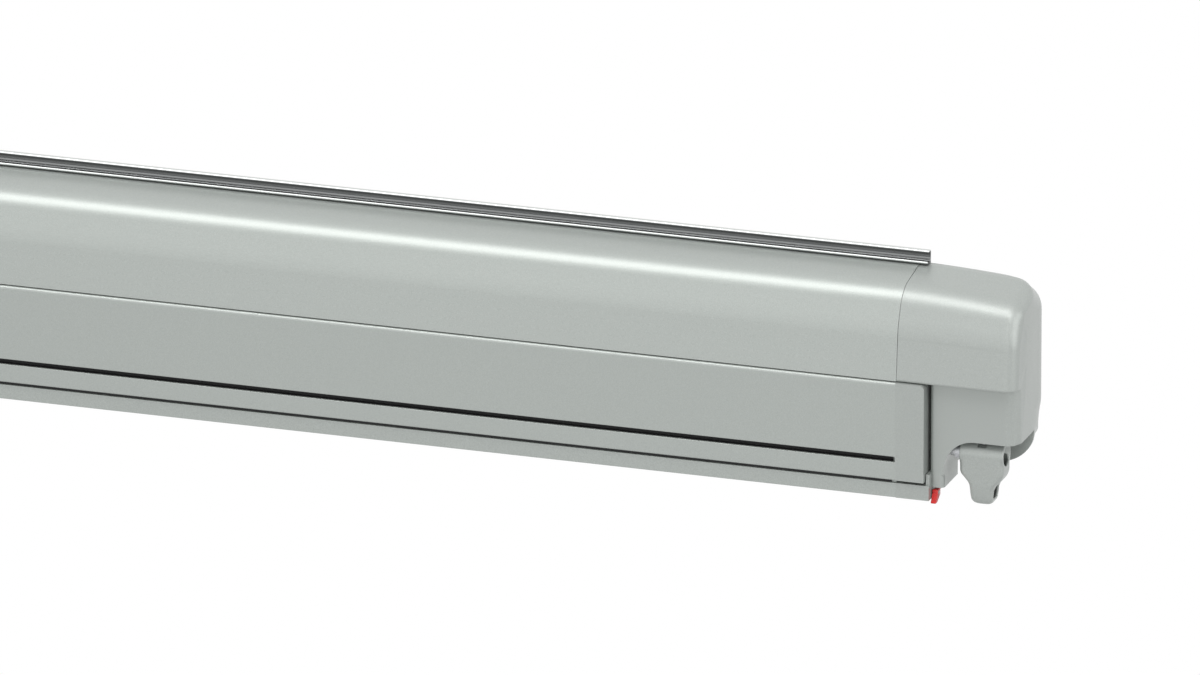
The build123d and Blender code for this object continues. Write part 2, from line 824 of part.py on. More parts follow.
def tube_plane(x, side_offset):
    """Plane across an arm tube, with its own x towards the wall and y along the pivots."""
    return Plane(
        origin=arm_plane.from_local_coords((x, side_offset, 0)),
        x_dir=arm_plane.y_dir,
        z_dir=(1, 0, 0),
    )


def make_arm_tube(side_offset, label):
    start = elbow_x + tube_start
    end = arm_pivot_x - tube_start
    with BuildPart() as tube:
        with BuildSketch(tube_plane(start, side_offset)):
            tube_outline()
            tube_outline(arm_tube_wall, mode=Mode.SUBTRACT)
        extrude(amount=end - start)
    save_pair(tube, label)


def casting_sketch(pivot, tube_end_x, side_offset, radius):
    """Draw a casting in the arm plane: a disc at the pivot and a neck to the tube."""
    toward = 1 if tube_end_x > pivot[0] else -1
    half_tube = arm_tube_width / 2
    half_neck = neck_width / 2
    neck_x = pivot[0] + toward * ear_clear_radius / 2
    neck_y = pivot[1] + (side_offset - pivot[1]) * neck_bend_share
    with Locations(pivot):
        Circle(radius)
    with BuildLine() as neck:
        Polyline(
            (pivot[0], pivot[1] - half_neck),
            (neck_x, neck_y - half_neck),
            (tube_end_x, side_offset - half_tube),
            (tube_end_x, side_offset + half_tube),
            (neck_x, neck_y + half_neck),
            (pivot[0], pivot[1] + half_neck),
            close=True,
        )
    make_face(neck.edges())


def make_casting(pivot, tube_end_x, side_offset, radius, tongue_half, is_fork):
    """Casting with either a middle tongue or a pair of ears at its pivot."""
    toward = 1 if tube_end_x > pivot[0] else -1
    half_height = arm_tube_height / 2
    plug_start = tube_end_x if toward > 0 else tube_end_x - plug_reach
    pivot_plane = Plane(
        origin=arm_plane.from_local_coords((pivot[0], pivot[1], -2 * half_height)), x_dir=(1, 0, 0),
        z_dir=arm_plane.z_dir,
    )
    with BuildPart() as casting:
        with BuildSketch(arm_plane):
            casting_sketch(pivot, tube_end_x, side_offset, radius)
        extrude(amount=half_height, both=True)
        if is_fork:
            with BuildSketch(arm_plane):
                with Locations(pivot):
                    Circle(ear_clear_radius)
            extrude(amount=tongue_half + face_gap, both=True, mode=Mode.SUBTRACT)
        else:
            for side in (-1, 1):
                with BuildSketch(arm_plane.offset(side * tongue_half)):
                    with Locations(pivot):
                        Circle(ear_clear_radius)
                extrude(amount=side * half_height, mode=Mode.SUBTRACT)
        with BuildSketch(tube_plane(plug_start, side_offset)):
            tube_outline(arm_tube_wall)
        extrude(amount=plug_reach)
        bore = pivot_pin_radius if is_fork else pivot_pin_radius + running_gap
        rod_along(pivot_plane, bore, 4 * half_height, mode=Mode.SUBTRACT)
    return casting


def make_pivot_pin(pivot, half_length):
    """Pin through a pivot with a flat head at each end."""
    base = arm_plane.from_local_coords((pivot[0], pivot[1], -half_length))
    tip = arm_plane.from_local_coords((pivot[0], pivot[1], half_length))
    with BuildPart() as pin:
        upward = Plane(origin=base, x_dir=(1, 0, 0), z_dir=arm_plane.z_dir)
        rod_along(upward, pivot_pin_radius, 2 * half_length)
        upper_head = Plane(origin=tip, x_dir=(1, 0, 0), z_dir=arm_plane.z_dir)
        rod_along(upper_head, pin_head_radius, pin_head_height)
        lower_head = Plane(origin=base, x_dir=(1, 0, 0), z_dir=-arm_plane.z_dir)
        rod_along(lower_head, pin_head_radius, pin_head_height)
    return pin


shoulder_pivot = (arm_pivot_x, 0)
elbow_pivot = (elbow_x, -fold_offset)
hand_pivot = (arm_pivot_x, -2 * fold_offset)


def make_arms():
    outer_end = arm_pivot_x - tube_start
    inner_end = elbow_x + tube_start
    make_arm_tube(upper_tube_offset, "upper_arm_tube")
    make_arm_tube(forearm_tube_offset, "forearm_tube")
    castings = [
        ("shoulder_knuckle", shoulder_pivot, outer_end, upper_tube_offset, knuckle_radius, shoulder_half, False),
        ("elbow_fork", elbow_pivot, inner_end, upper_tube_offset, knuckle_radius, elbow_half, True),
        ("elbow_tongue", elbow_pivot, inner_end, forearm_tube_offset, knuckle_radius, elbow_half, False),
        ("hand_knuckle", hand_pivot, outer_end, forearm_tube_offset, hand_radius, hand_half, False),
    ]
    for label, *sizes in castings:
        save_pair(make_casting(*sizes), label)
    ear_reach = face_gap + ear_thickness
    save_pair(make_pivot_pin(elbow_pivot, arm_tube_height / 2), "elbow_pin")
    save_both_ends(make_pivot_pin(shoulder_pivot, shoulder_half + ear_reach), "shoulder_pins")
    save_both_ends(make_pivot_pin(hand_pivot, hand_half + ear_reach), "hand_pins")


def make_arm_springs():
    """Tension spring in each forearm tube, hooked behind the elbow casting."""
    start = elbow_x + tube_start + plug_reach + spring_wire_radius + face_gap
    with BuildPart() as spring:
        with BuildLine() as path:
            Helix(
                pitch=spring_length / spring_turns,
                height=spring_length,
                radius=spring_radius,
                center=arm_plane.from_local_coords((start, forearm_tube_offset, 0)),
                direction=(1, 0, 0),
            )
        with BuildSketch(Plane(origin=path.line @ 0, z_dir=path.line % 0)):
            Circle(spring_wire_radius)
        sweep(path=path.line, is_frenet=True)
    save_pair(spring, "arm_spring")


# Shoulder brackets on the case and hand brackets in the lead bar
def make_shoulder_brackets():
    base_front = case_wall + bracket_base
    ear_start = shoulder_half + face_gap
    back_local = shoulder_pivot_depth / cos(radians(arm_pitch)) + overrun
    with BuildPart() as bracket:
        box_between(
            (arm_pivot_x - bracket_half_width, -base_front, arm_plane_height - bracket_half_width),
            (arm_pivot_x + bracket_half_width, -case_wall, arm_plane_height + bracket_half_width),
        )
        for side in (-1, 1):
            with BuildSketch(arm_plane.offset(side * ear_start)):
                with Locations(shoulder_pivot):
                    Circle(knuckle_radius)
                rectangle_between((arm_pivot_x - knuckle_radius, 0), (arm_pivot_x + knuckle_radius, back_local))
            extrude(amount=side * ear_thickness)
        pin_base = arm_plane.from_local_coords((arm_pivot_x, 0, -2 * ear_start))
        rod_along(
            Plane(origin=pin_base, x_dir=(1, 0, 0), z_dir=arm_plane.z_dir), pivot_pin_radius, 4 * ear_start,
            mode=Mode.SUBTRACT,
        )
        box_between(
            (arm_pivot_x - bracket_half_width, -case_wall, arm_plane_height - 2 * bracket_half_width),
            (arm_pivot_x + bracket_half_width, 2 * overrun, arm_plane_height + 2 * bracket_half_width),
            mode=Mode.SUBTRACT,
        )
        with BuildSketch(Plane.XZ.offset(case_wall)):
            with Locations(*[place for place in bracket_screw_places() if place[0] > 0]):
                Circle(bracket_screw_radius)
        extrude(amount=bracket_base, mode=Mode.SUBTRACT)
    save_pair(bracket, "shoulder_bracket")

    with BuildPart() as screws:
        with BuildSketch(Plane.XZ.offset(face_gap)):
            with Locations(*bracket_screw_places()):
                Circle(bracket_screw_radius)
        extrude(amount=base_front - face_gap)
        with BuildSketch(Plane.XZ.offset(base_front)):
            with Locations(*bracket_screw_places()):
                RegularPolygon(bracket_screw_head_radius, 6)
        extrude(amount=bracket_screw_radius)
    save(screws, "bracket_screws")


def make_hand_brackets():
    ear_start = hand_half + face_gap
    plate_rear = bar_depth - bar_wall - bracket_base
    front_local = -(bar_depth - shoulder_pivot_depth) / cos(radians(arm_pitch)) - overrun
    with BuildPart() as bracket:
        box_between(
            (arm_pivot_x - bracket_half_width, -(bar_depth - bar_wall), -(slot_top_drop - slot_side)),
            (arm_pivot_x + bracket_half_width, -plate_rear, -(hem_floor_drop + bar_web)),
        )
        for side in (-1, 1):
            with BuildSketch(arm_plane.offset(side * ear_start)):
                with Locations(hand_pivot):
                    Circle(hand_radius)
                rectangle_between(
                    (arm_pivot_x - hand_radius, front_local), (arm_pivot_x + hand_radius, hand_pivot[1])
                )
            extrude(amount=side * ear_thickness)
        pin_base = arm_plane.from_local_coords((hand_pivot[0], hand_pivot[1], -2 * ear_start))
        rod_along(
            Plane(origin=pin_base, x_dir=(1, 0, 0), z_dir=arm_plane.z_dir), pivot_pin_radius, 4 * ear_start,
            mode=Mode.SUBTRACT,
        )
        box_between(
            (arm_pivot_x - bracket_half_width, -bar_depth - 3 * overrun, -leg_channel_top),
            (arm_pivot_x + bracket_half_width, -(bar_depth - bar_wall), 0),
            mode=Mode.SUBTRACT,
        )
    save_pair(bracket, "hand_bracket")


# Lead bar: front panel, hem channel behind its top, leg channel behind its foot
def make_lead_bar():
    with BuildPart() as bar:
        with BuildSketch(Plane.YZ.offset(-profile_half)) as section:
            rectangle_between((-bar_depth, -bar_face_drop), (-(bar_depth - bar_wall), -bar_top_gap))
            rectangle_between((-bar_depth, -hem_top_drop), (-bar_rear_depth, -bar_top_gap))
            fillet(section.vertices().group_by(Axis.X)[0].sort_by(Axis.Y)[-1], radius=bar_top_radius)
            inner_face = -bar_depth + bar_wall
            rectangle_between((inner_face, -hem_floor_drop - bar_web), (-bar_rear_depth, -hem_floor_drop))
            slot_low = -slot_bottom_drop - slot_side
            slot_high = -slot_top_drop + slot_side
            rectangle_between((-bar_depth, slot_low), (-slot_inner_depth + bar_web, slot_high))
            rectangle_between(
                (inner_face, slot_low + bar_web), (-slot_inner_depth, slot_high - bar_web), mode=Mode.SUBTRACT
            )
            rectangle_between(
                (-bar_depth - overrun, -slot_bottom_drop),
                (-slot_inner_depth, -slot_top_drop),
                mode=Mode.SUBTRACT,
            )
            front = -leg_channel_front
            rear = -leg_channel_rear
            rectangle_between((front - bar_web, -leg_channel_top - bar_web), (rear + bar_web, -leg_channel_top))
            rectangle_between((front - bar_web, -lip_bottom_drop), (front, -leg_channel_top))
            rectangle_between((rear, -lip_bottom_drop), (rear + bar_web, -leg_channel_top))
            rectangle_between((-bar_depth, -bar_face_drop), (front, -bar_face_drop + bar_web))
            rectangle_between((-lip_depth, -lip_bottom_drop), (front, -lip_top_drop))
        extrude(amount=profile_length)
    save(bar, "lead_bar_profile")


def make_lead_bar_ends():
    end = profile_half + bar_cap_length
    with BuildPart() as cap:
        with BuildSketch(Plane.XZ.offset(bar_rear_depth)) as front:
            rectangle_between((profile_half, -bar_face_drop), (end, -bar_top_gap))
            fillet(front.vertices().group_by(Axis.X)[-1].sort_by(Axis.Y)[-1], radius=bar_cap_corner)
        extrude(amount=bar_depth - bar_rear_depth)
        box_between(
            (profile_half, -bar_depth + bar_wall, -bar_face_drop + bar_wall),
            (end - bar_wall, -bar_rear_depth + overrun, -bar_top_gap - bar_top_radius - bar_cap_corner),
            mode=Mode.SUBTRACT,
        )
    save_pair(cap, "lead_bar_cap")

    lip_end = profile_half + lip_end_length
    with BuildPart() as lip:
        box_between(
            (profile_half, -lip_depth, -lip_bottom_drop), (lip_end, -leg_channel_rear + bar_web, -lip_top_drop)
        )
        box_between(
            (lip_end - lip_end_upstand, -lip_depth + bar_web, -lip_top_drop),
            (lip_end, -leg_channel_rear + bar_web, -lip_end_top_drop),
        )
        box_between(
            (profile_half, -lip_depth + bar_wall, -lip_bottom_drop - overrun),
            (lip_end - lip_end_upstand, -leg_channel_rear, -lip_top_drop - bar_wall),
            mode=Mode.SUBTRACT,
        )
        tab_pin = Plane(origin=(lip_end, -tab_pin_depth, -tab_pin_drop), x_dir=(0, 1, 0), z_dir=(1, 0, 0))
        rod_along(tab_pin, tab_pin_radius, tab_outer - lip_end_length)
    save_pair(lip, "lip_end")


def make_release_levers():
    """Bent tab on a pin beside the lead bar's lower end."""
    thickness = tab_outer - tab_inner
    with BuildPart() as tab:
        with BuildSketch(Plane.YZ.offset(profile_half + tab_inner)) as side:
            with BuildLine():
                Polyline(
                    (-tab_rear_depth, -tab_top_drop),
                    (-tab_front_depth + thickness, -tab_top_drop),
                    (-tab_front_depth + thickness, -tab_pin_drop),
                    (-tab_front_depth, -tab_bottom_drop),
                    (-tab_front_depth + thickness, -tab_bottom_drop),
                    (-tab_rear_depth, -tab_pin_drop - thickness / 2),
                    close=True,
                )
            make_face()
            with Locations((-tab_pin_depth, -tab_pin_drop)):
                Circle(tab_pin_radius + running_gap, mode=Mode.SUBTRACT)
        extrude(amount=thickness)
    save_pair(tab, "release_lever")


# Support legs
def leg_cross_plane(x):
    """Plane across a stored leg, with its own x towards the wall and y up."""
    centre_depth = (leg_channel_front + leg_channel_rear) / 2
    return Plane(origin=(x, -centre_depth, -leg_pivot_drop), x_dir=(0, 1, 0), z_dir=(1, 0, 0))


def leg_side_plane(from_centre):
    """Plane along a leg, at a distance towards the front of its middle."""
    centre_depth = (leg_channel_front + leg_channel_rear) / 2
    return Plane.XZ.offset(centre_depth + from_centre)


def make_legs():
    tube_end = leg_pivot_x - leg_tube_start
    tube_start_x = leg_tip_x + leg_foot_length + face_gap
    bore_width = leg_width - 2 * leg_wall
    bore_height = leg_height - 2 * leg_wall
    with BuildPart() as outer:
        with BuildSketch(leg_cross_plane(tube_start_x)):
            RectangleRounded(leg_width, leg_height, leg_corner)
            RectangleRounded(bore_width, bore_height, leg_corner / 2, mode=Mode.SUBTRACT)
        extrude(amount=tube_end - tube_start_x)
        with BuildSketch(leg_cross_plane(tube_end - leg_eye_radius)):
            RectangleRounded(bore_width, bore_height, leg_corner / 2)
        extrude(amount=leg_eye_radius)
        with BuildSketch(leg_side_plane(-leg_eye_half)):
            with Locations((leg_pivot_x, -leg_pivot_drop)):
                Circle(leg_eye_radius)
            rectangle_between(
                (tube_end - leg_eye_radius, -leg_pivot_drop - bore_height / 2 + leg_wall),
                (leg_pivot_x, -leg_pivot_drop + bore_height / 2 - leg_wall),
            )
        extrude(amount=2 * leg_eye_half)
        with BuildSketch(leg_side_plane(-leg_eye_half - overrun)):
            with Locations((leg_pivot_x, -leg_pivot_drop)):
                Circle(leg_pin_radius + running_gap)
        extrude(amount=2 * (leg_eye_half + overrun), mode=Mode.SUBTRACT)
        hinge_x, hinge_drop = clamp_hinge()
        ear_width = leg_wall - face_gap
        for ear_start in (-leg_width / 2, leg_width / 2 - ear_width):
            with BuildSketch(leg_side_plane(ear_start)):
                with Locations((hinge_x, -hinge_drop)):
                    Circle(clamp_thickness / 2)
                rectangle_between(
                    (hinge_x - clamp_thickness / 2, -hinge_drop),
                    (hinge_x + clamp_thickness / 2, -leg_pivot_drop - leg_height / 2 + leg_corner),
                )
            extrude(amount=ear_width)
        with BuildSketch(leg_side_plane(-leg_width / 2)):
            with Locations((hinge_x, -hinge_drop)):
                Circle(clamp_pin_radius)
        extrude(amount=leg_width)
    save_pair(outer, "leg_outer")

    slide_width = bore_width - 2 * leg_slide_gap
    slide_height = bore_height - 2 * leg_slide_gap
    hollow_width = slide_width - 2 * leg_wall
    hollow_height = slide_height - 2 * leg_wall
    inner_end = tube_end - leg_eye_radius - leg_inner_overlap / 2
    with BuildPart() as inner:
        with BuildSketch(leg_cross_plane(leg_tip_x + leg_foot_length)):
            RectangleRounded(slide_width, slide_height, leg_corner / 2)
            RectangleRounded(hollow_width, hollow_height, leg_corner / 4, mode=Mode.SUBTRACT)
        extrude(amount=inner_end - leg_tip_x - leg_foot_length)
    save_pair(inner, "leg_inner")

    with BuildPart() as foot:
        with BuildSketch(leg_cross_plane(leg_tip_x)):
            RectangleRounded(leg_width, leg_height, leg_corner)
        extrude(amount=leg_foot_length)
        with BuildSketch(leg_cross_plane(leg_tip_x + leg_foot_length)):
            RectangleRounded(hollow_width, hollow_height, leg_corner / 4)
        extrude(amount=leg_foot_length)
    save_pair(foot, "leg_foot")


def clamp_hinge():
    """Hinge of the clamp lever under the stored leg, as X and drop below the parting line."""
    hinge_drop = leg_pivot_drop + leg_height / 2 + face_gap + clamp_thickness / 2
    return leg_tip_x + clamp_from_tip, hinge_drop


def make_leg_clamps():
    hinge_x, hinge_drop = clamp_hinge()
    with BuildPart() as clamp:
        with BuildSketch(leg_side_plane(-leg_width / 2 + leg_wall)):
            rectangle_between(
                (hinge_x - clamp_length, -hinge_drop - clamp_thickness / 2),
                (hinge_x, -hinge_drop + clamp_thickness / 2),
            )
            with Locations((hinge_x, -hinge_drop)):
                Circle(clamp_thickness / 2)
                Circle(clamp_pin_radius + running_gap, mode=Mode.SUBTRACT)
        extrude(amount=leg_width - 2 * leg_wall)
    save_pair(clamp, "leg_clamp")


def make_leg_brackets():
    cheek_start = leg_eye_half + face_gap
    top_drop = leg_channel_top + bar_web
    half_length = leg_eye_radius + leg_cheek
    with BuildPart() as bracket:
        for side in (-1, 1):
            low = cheek_start if side > 0 else -cheek_start - leg_cheek
            with BuildSketch(leg_side_plane(low)):
                rectangle_between(
                    (leg_pivot_x - half_length, -lip_bottom_drop + leg_cheek),
                    (leg_pivot_x + half_length, -top_drop),
                )
                with Locations((leg_pivot_x, -leg_pivot_drop)):
                    Circle(leg_pin_radius, mode=Mode.SUBTRACT)
            extrude(amount=leg_cheek)
        with BuildSketch(leg_side_plane(-cheek_start - leg_cheek)):
            rectangle_between(
                (leg_pivot_x - half_length, -top_drop - bar_web), (leg_pivot_x + half_length, -top_drop)
            )
        extrude(amount=2 * (cheek_start + leg_cheek))
    save_both_ends(bracket, "leg_brackets")

    pin_half = cheek_start + leg_cheek
    with BuildPart() as pin:
        with BuildSketch(leg_side_plane(-pin_half)):
            with Locations((leg_pivot_x, -leg_pivot_drop)):
                Circle(leg_pin_radius)
        extrude(amount=2 * pin_half)
        with BuildSketch(leg_side_plane(pin_half)):
            with Locations((leg_pivot_x, -leg_pivot_drop)):
                Circle(leg_pin_radius + bar_web)
        extrude(amount=bar_web / 2)
    save_both_ends(pin, "leg_pins")


make_case_profile()
make_gutter_rail()
make_end_caps()
make_side_plates()
make_plate_screws()
make_roller_bearings()
make_roller()
make_worm_wheel()
make_worm_shaft()
make_gearbox_housing()
make_hood_axle()
make_winch_hood()
make_crank_eye()
make_fabric()
make_arms()
make_arm_springs()
make_shoulder_brackets()
make_hand_brackets()
make_lead_bar()
make_lead_bar_ends()
make_release_levers()
make_legs()
make_leg_clamps()
make_leg_brackets()
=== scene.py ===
# %% [markdown]
# A roll-out awning is a long case that is bolted to the side of a camper. A roller inside
# holds the cloth, two folding arms push a lead bar outwards, and two legs swing down from
# the lead bar. The measured parts are already built at their real size. They are loaded
# first as a fixed frame, and everything below dresses that frame.

# %% Load the measured parts
import json
import math

import bmesh
import bpy
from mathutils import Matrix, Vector


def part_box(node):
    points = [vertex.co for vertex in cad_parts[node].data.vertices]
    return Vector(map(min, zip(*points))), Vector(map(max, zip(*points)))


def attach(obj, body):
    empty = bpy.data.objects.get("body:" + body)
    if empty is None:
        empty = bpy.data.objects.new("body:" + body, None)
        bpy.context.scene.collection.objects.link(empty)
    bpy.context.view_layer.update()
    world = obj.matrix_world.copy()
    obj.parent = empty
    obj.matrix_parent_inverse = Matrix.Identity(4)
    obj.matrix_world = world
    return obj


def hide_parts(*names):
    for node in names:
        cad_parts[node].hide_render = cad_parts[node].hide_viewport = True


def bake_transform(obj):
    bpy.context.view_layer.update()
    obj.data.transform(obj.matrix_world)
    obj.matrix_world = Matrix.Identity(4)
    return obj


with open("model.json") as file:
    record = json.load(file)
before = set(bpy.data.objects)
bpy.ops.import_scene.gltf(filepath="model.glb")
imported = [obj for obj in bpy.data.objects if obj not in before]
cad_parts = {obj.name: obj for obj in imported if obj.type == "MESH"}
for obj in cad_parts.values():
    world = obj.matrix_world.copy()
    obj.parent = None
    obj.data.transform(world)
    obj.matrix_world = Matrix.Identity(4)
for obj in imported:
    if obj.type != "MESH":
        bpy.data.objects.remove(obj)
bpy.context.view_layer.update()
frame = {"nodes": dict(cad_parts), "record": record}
nodes = frame["nodes"]
for plain_finish in list(bpy.data.materials):
    bpy.data.materials.remove(plain_finish)

# %% [markdown]
# Every finish below is built from the same few nodes: a noise that is read in object
# coordinates, a colour ramp that turns it into two close tones, and a bump. Object
# coordinates are in metres here, so the scale of a noise is the number of grains in a
# metre, and the grain keeps its real size on a short cap and on a long extrusion alike.
# One helper holds that recipe, because a finish is then only a list of numbers.

# %% A helper for finishes made of noise, two tones and bump
def new_finish(name):
    material = bpy.data.materials.new(name)
    material.use_nodes = True
    tree = material.node_tree
    return material, tree, tree.nodes["Principled BSDF"]


def object_noise(tree, grains_per_metre, detail=3.0, stretch=(1, 1, 1)):
    place = tree.nodes.new("ShaderNodeTexCoord")
    scale = tree.nodes.new("ShaderNodeMapping")
    scale.inputs["Scale"].default_value = stretch
    noise = tree.nodes.new("ShaderNodeTexNoise")
    noise.inputs["Scale"].default_value = grains_per_metre
    noise.inputs["Detail"].default_value = detail
    tree.links.new(place.outputs["Object"], scale.inputs["Vector"])
    tree.links.new(scale.outputs["Vector"], noise.inputs["Vector"])
    return noise


def tones(tree, noise, dark, light, low=0.35, high=0.65):
    ramp = tree.nodes.new("ShaderNodeValToRGB")
    ramp.color_ramp.elements[0].position = low
    ramp.color_ramp.elements[0].color = (*dark, 1)
    ramp.color_ramp.elements[1].position = high
    ramp.color_ramp.elements[1].color = (*light, 1)
    tree.links.new(noise.outputs["Fac"], ramp.inputs["Fac"])
    return ramp


def add_bump(tree, shader, noise, height, strength=1.0):
    bump = tree.nodes.new("ShaderNodeBump")
    bump.inputs["Distance"].default_value = height
    bump.inputs["Strength"].default_value = strength
    tree.links.new(noise.outputs["Fac"], bump.inputs["Height"])
    tree.links.new(bump.outputs["Normal"], shader.inputs["Normal"])
    return bump


def vary_roughness(tree, shader, noise, low, high):
    spread = tree.nodes.new("ShaderNodeMapRange")
    spread.inputs["To Min"].default_value = low
    spread.inputs["To Max"].default_value = high
    tree.links.new(noise.outputs["Fac"], spread.inputs["Value"])
    tree.links.new(spread.outputs["Result"], shader.inputs["Roughness"])


# %% [markdown]
# The case, the lead bar and the caps wear one warm grey paint with a fine metal flake.
# Close up it is not one colour: each flake is a little lighter or darker than the lacquer
# round it, and the lacquer on top has an orange-peel skin. So the colour comes from a very
# fine noise between two close greys, the metallic share stays below one half because it is
# paint and not metal, and a thin clear coat gives the long soft highlight on the shoulder.

# %% Flake paint
flakes_per_metre = 2600
orange_peel_per_metre = 900
lacquer_weight, lacquer_roughness = 0.25, 0.22


def flake_paint(name, dark, light, metallic, rough):
    material, tree, shader = new_finish(name)
    flakes = object_noise(tree, flakes_per_metre, detail=2.0)
    tint = tones(tree, flakes, dark, light, 0.30, 0.70)
    tree.links.new(tint.outputs["Color"], shader.inputs["Base Color"])
    shader.inputs["Metallic"].default_value = metallic
    cloud = object_noise(tree, 9, detail=4.0, stretch=(0.25, 1, 1))
    vary_roughness(tree, shader, cloud, rough - 0.03, rough + 0.04)
    skin = object_noise(tree, orange_peel_per_metre, detail=2.0)
    add_bump(tree, shader, skin, 0.00003, 0.6)
    shader.inputs["Coat Weight"].default_value = lacquer_weight
    shader.inputs["Coat Roughness"].default_value = lacquer_roughness
    return material


titanium_paint = flake_paint("titanium_paint", (0.335, 0.357, 0.338), (0.445, 0.474, 0.450), 0.45, 0.36)
titanium_plastic = flake_paint("titanium_plastic", (0.325, 0.345, 0.328), (0.430, 0.456, 0.434), 0.40, 0.40)
print("flake paints ready")

# %% [markdown]
# The gutter rail, the arm tubes and the legs are bare extruded aluminium. An extrusion die
# leaves fine straight lines along the length, so the noise is squeezed to a fraction along
# X and runs fast across it. Castings were blasted instead, which gives an even pebble.

# %% Bare metals
die_line_stretch = (0.0003, 1, 1)


def drawn_metal(name, dark, light, rough, lines=1500, relief=0.5):
    material, tree, shader = new_finish(name)
    streaks = object_noise(tree, lines, detail=3.0, stretch=die_line_stretch)
    tint = tones(tree, streaks, dark, light, 0.3, 0.7)
    tree.links.new(tint.outputs["Color"], shader.inputs["Base Color"])
    shader.inputs["Metallic"].default_value = 1.0
    vary_roughness(tree, shader, streaks, rough - 0.05, rough + 0.07)
    add_bump(tree, shader, streaks, 0.00002, relief)
    return material


def cast_metal(name, dark, light, rough, grains=1400):
    material, tree, shader = new_finish(name)
    pebble = object_noise(tree, grains, detail=2.0)
    tint = tones(tree, pebble, dark, light)
    tree.links.new(tint.outputs["Color"], shader.inputs["Base Color"])
    shader.inputs["Metallic"].default_value = 0.85
    vary_roughness(tree, shader, pebble, rough - 0.06, rough + 0.06)
    add_bump(tree, shader, pebble, 0.00006, 0.8)
    return material


bare_aluminium = drawn_metal("bare_aluminium", (0.50, 0.51, 0.52), (0.66, 0.67, 0.68), 0.30)
cast_aluminium = cast_metal("cast_aluminium", (0.40, 0.41, 0.41), (0.52, 0.53, 0.53), 0.52)
zinc_steel = cast_metal("zinc_steel", (0.44, 0.45, 0.47), (0.60, 0.61, 0.62), 0.38, 700)
brass = cast_metal("brass", (0.48, 0.32, 0.11), (0.62, 0.44, 0.18), 0.36, 900)


def rail_with_painted_shade(name):
    """Drawn metal on the front of the lower lip and the top of the upper lip; everywhere else the colour is
    painted shade that changes with height.
    """
    material = drawn_metal(name, (0.60, 0.62, 0.61), (0.72, 0.74, 0.73), 0.26, lines=2200, relief=0.1)
    tree = material.node_tree
    shader = tree.nodes["Principled BSDF"]
    bright = shader.inputs["Base Color"].links[0].from_socket
    place = tree.nodes.new("ShaderNodeTexCoord")
    axes = tree.nodes.new("ShaderNodeSeparateXYZ")
    tree.links.new(place.outputs["Object"], axes.inputs["Vector"])

    def step(axis, start, end):
        spread = tree.nodes.new("ShaderNodeMapRange")
        spread.inputs["From Min"].default_value = start
        spread.inputs["From Max"].default_value = end
        tree.links.new(axes.outputs[axis], spread.inputs["Value"])
        return spread.outputs["Result"]

    # Painted shade: behind the front of the lower lip and below the top of the upper lip, the metal's colour
    # gives way to dark tones that stand in for the shadow and dark reflection in the channel.
    channel_shade_mask = tree.nodes.new("ShaderNodeMath")
    channel_shade_mask.operation = "MULTIPLY"
    tree.links.new(step("Y", -0.0400, -0.0394), channel_shade_mask.inputs[0])
    tree.links.new(step("Z", 0.0713, 0.0708), channel_shade_mask.inputs[1])
    channel_shade_ramp = tree.nodes.new("ShaderNodeValToRGB")
    steps = channel_shade_ramp.color_ramp.elements
    steps[0].color = (0.10, 0.105, 0.105, 1)
    steps[1].color = (0.055, 0.058, 0.058, 1)
    # Painted shade levels from the foot under the lower lip up to the top lip, a little lighter where the
    # channel floor faces up.
    for position, grey in ((0.16, 0.13), (0.22, 0.27), (0.45, 0.20), (0.68, 0.085)):
        shade_stop = steps.new(position)
        shade_stop.color = (grey, grey * 1.03, grey * 1.03, 1)
    tree.links.new(step("Z", 0.0628, 0.0713), channel_shade_ramp.inputs["Fac"])
    blend = tree.nodes.new("ShaderNodeMix")
    blend.data_type = "RGBA"
    tree.links.new(channel_shade_mask.outputs["Value"], blend.inputs[0])
    tree.links.new(bright, blend.inputs[6])
    tree.links.new(channel_shade_ramp.outputs["Color"], blend.inputs[7])
    tree.links.new(blend.outputs[2], shader.inputs["Base Color"])
    return material


rail_metal = rail_with_painted_shade("rail_aluminium")
print("metals ready")


# %% [markdown]
# Moulded plastics differ from paint in one way that shows: their grain is sparked into the
# mould, so it is a shallow even bump, and the colour hardly varies.

# %% Moulded plastics
mould_grain_height = 0.00004


def moulded(name, dark, light, rough, grains=1100):
    material, tree, shader = new_finish(name)
    grain = object_noise(tree, grains, detail=2.0)
    tint = tones(tree, grain, dark, light, 0.3, 0.7)
    tree.links.new(tint.outputs["Color"], shader.inputs["Base Color"])
    vary_roughness(tree, shader, grain, rough - 0.05, rough + 0.05)
    add_bump(tree, shader, grain, mould_grain_height, 0.7)
    return material


dark_plastic = moulded("dark_plastic", (0.062, 0.064, 0.062), (0.090, 0.092, 0.090), 0.55)
white_nylon = moulded("white_nylon", (0.66, 0.66, 0.63), (0.74, 0.74, 0.71), 0.48)
red_plastic = moulded("red_plastic", (0.52, 0.012, 0.010), (0.66, 0.020, 0.016), 0.34)
# Near black for the strips of painted shade in the lead bar's slot and groove.
slot_shade_black = moulded("slot_shade_black", (0.012, 0.012, 0.013), (0.022, 0.022, 0.023), 0.70, 600)
print("plastics ready")


# %% [markdown]
# Awning cloth is a coated canvas. Two wave textures at right angles give warp and weft at
# about a millimetre, and a slow noise keeps the large face from looking printed.

# %% Coated cloth
thread_scale = 300
thread_height = 0.00015


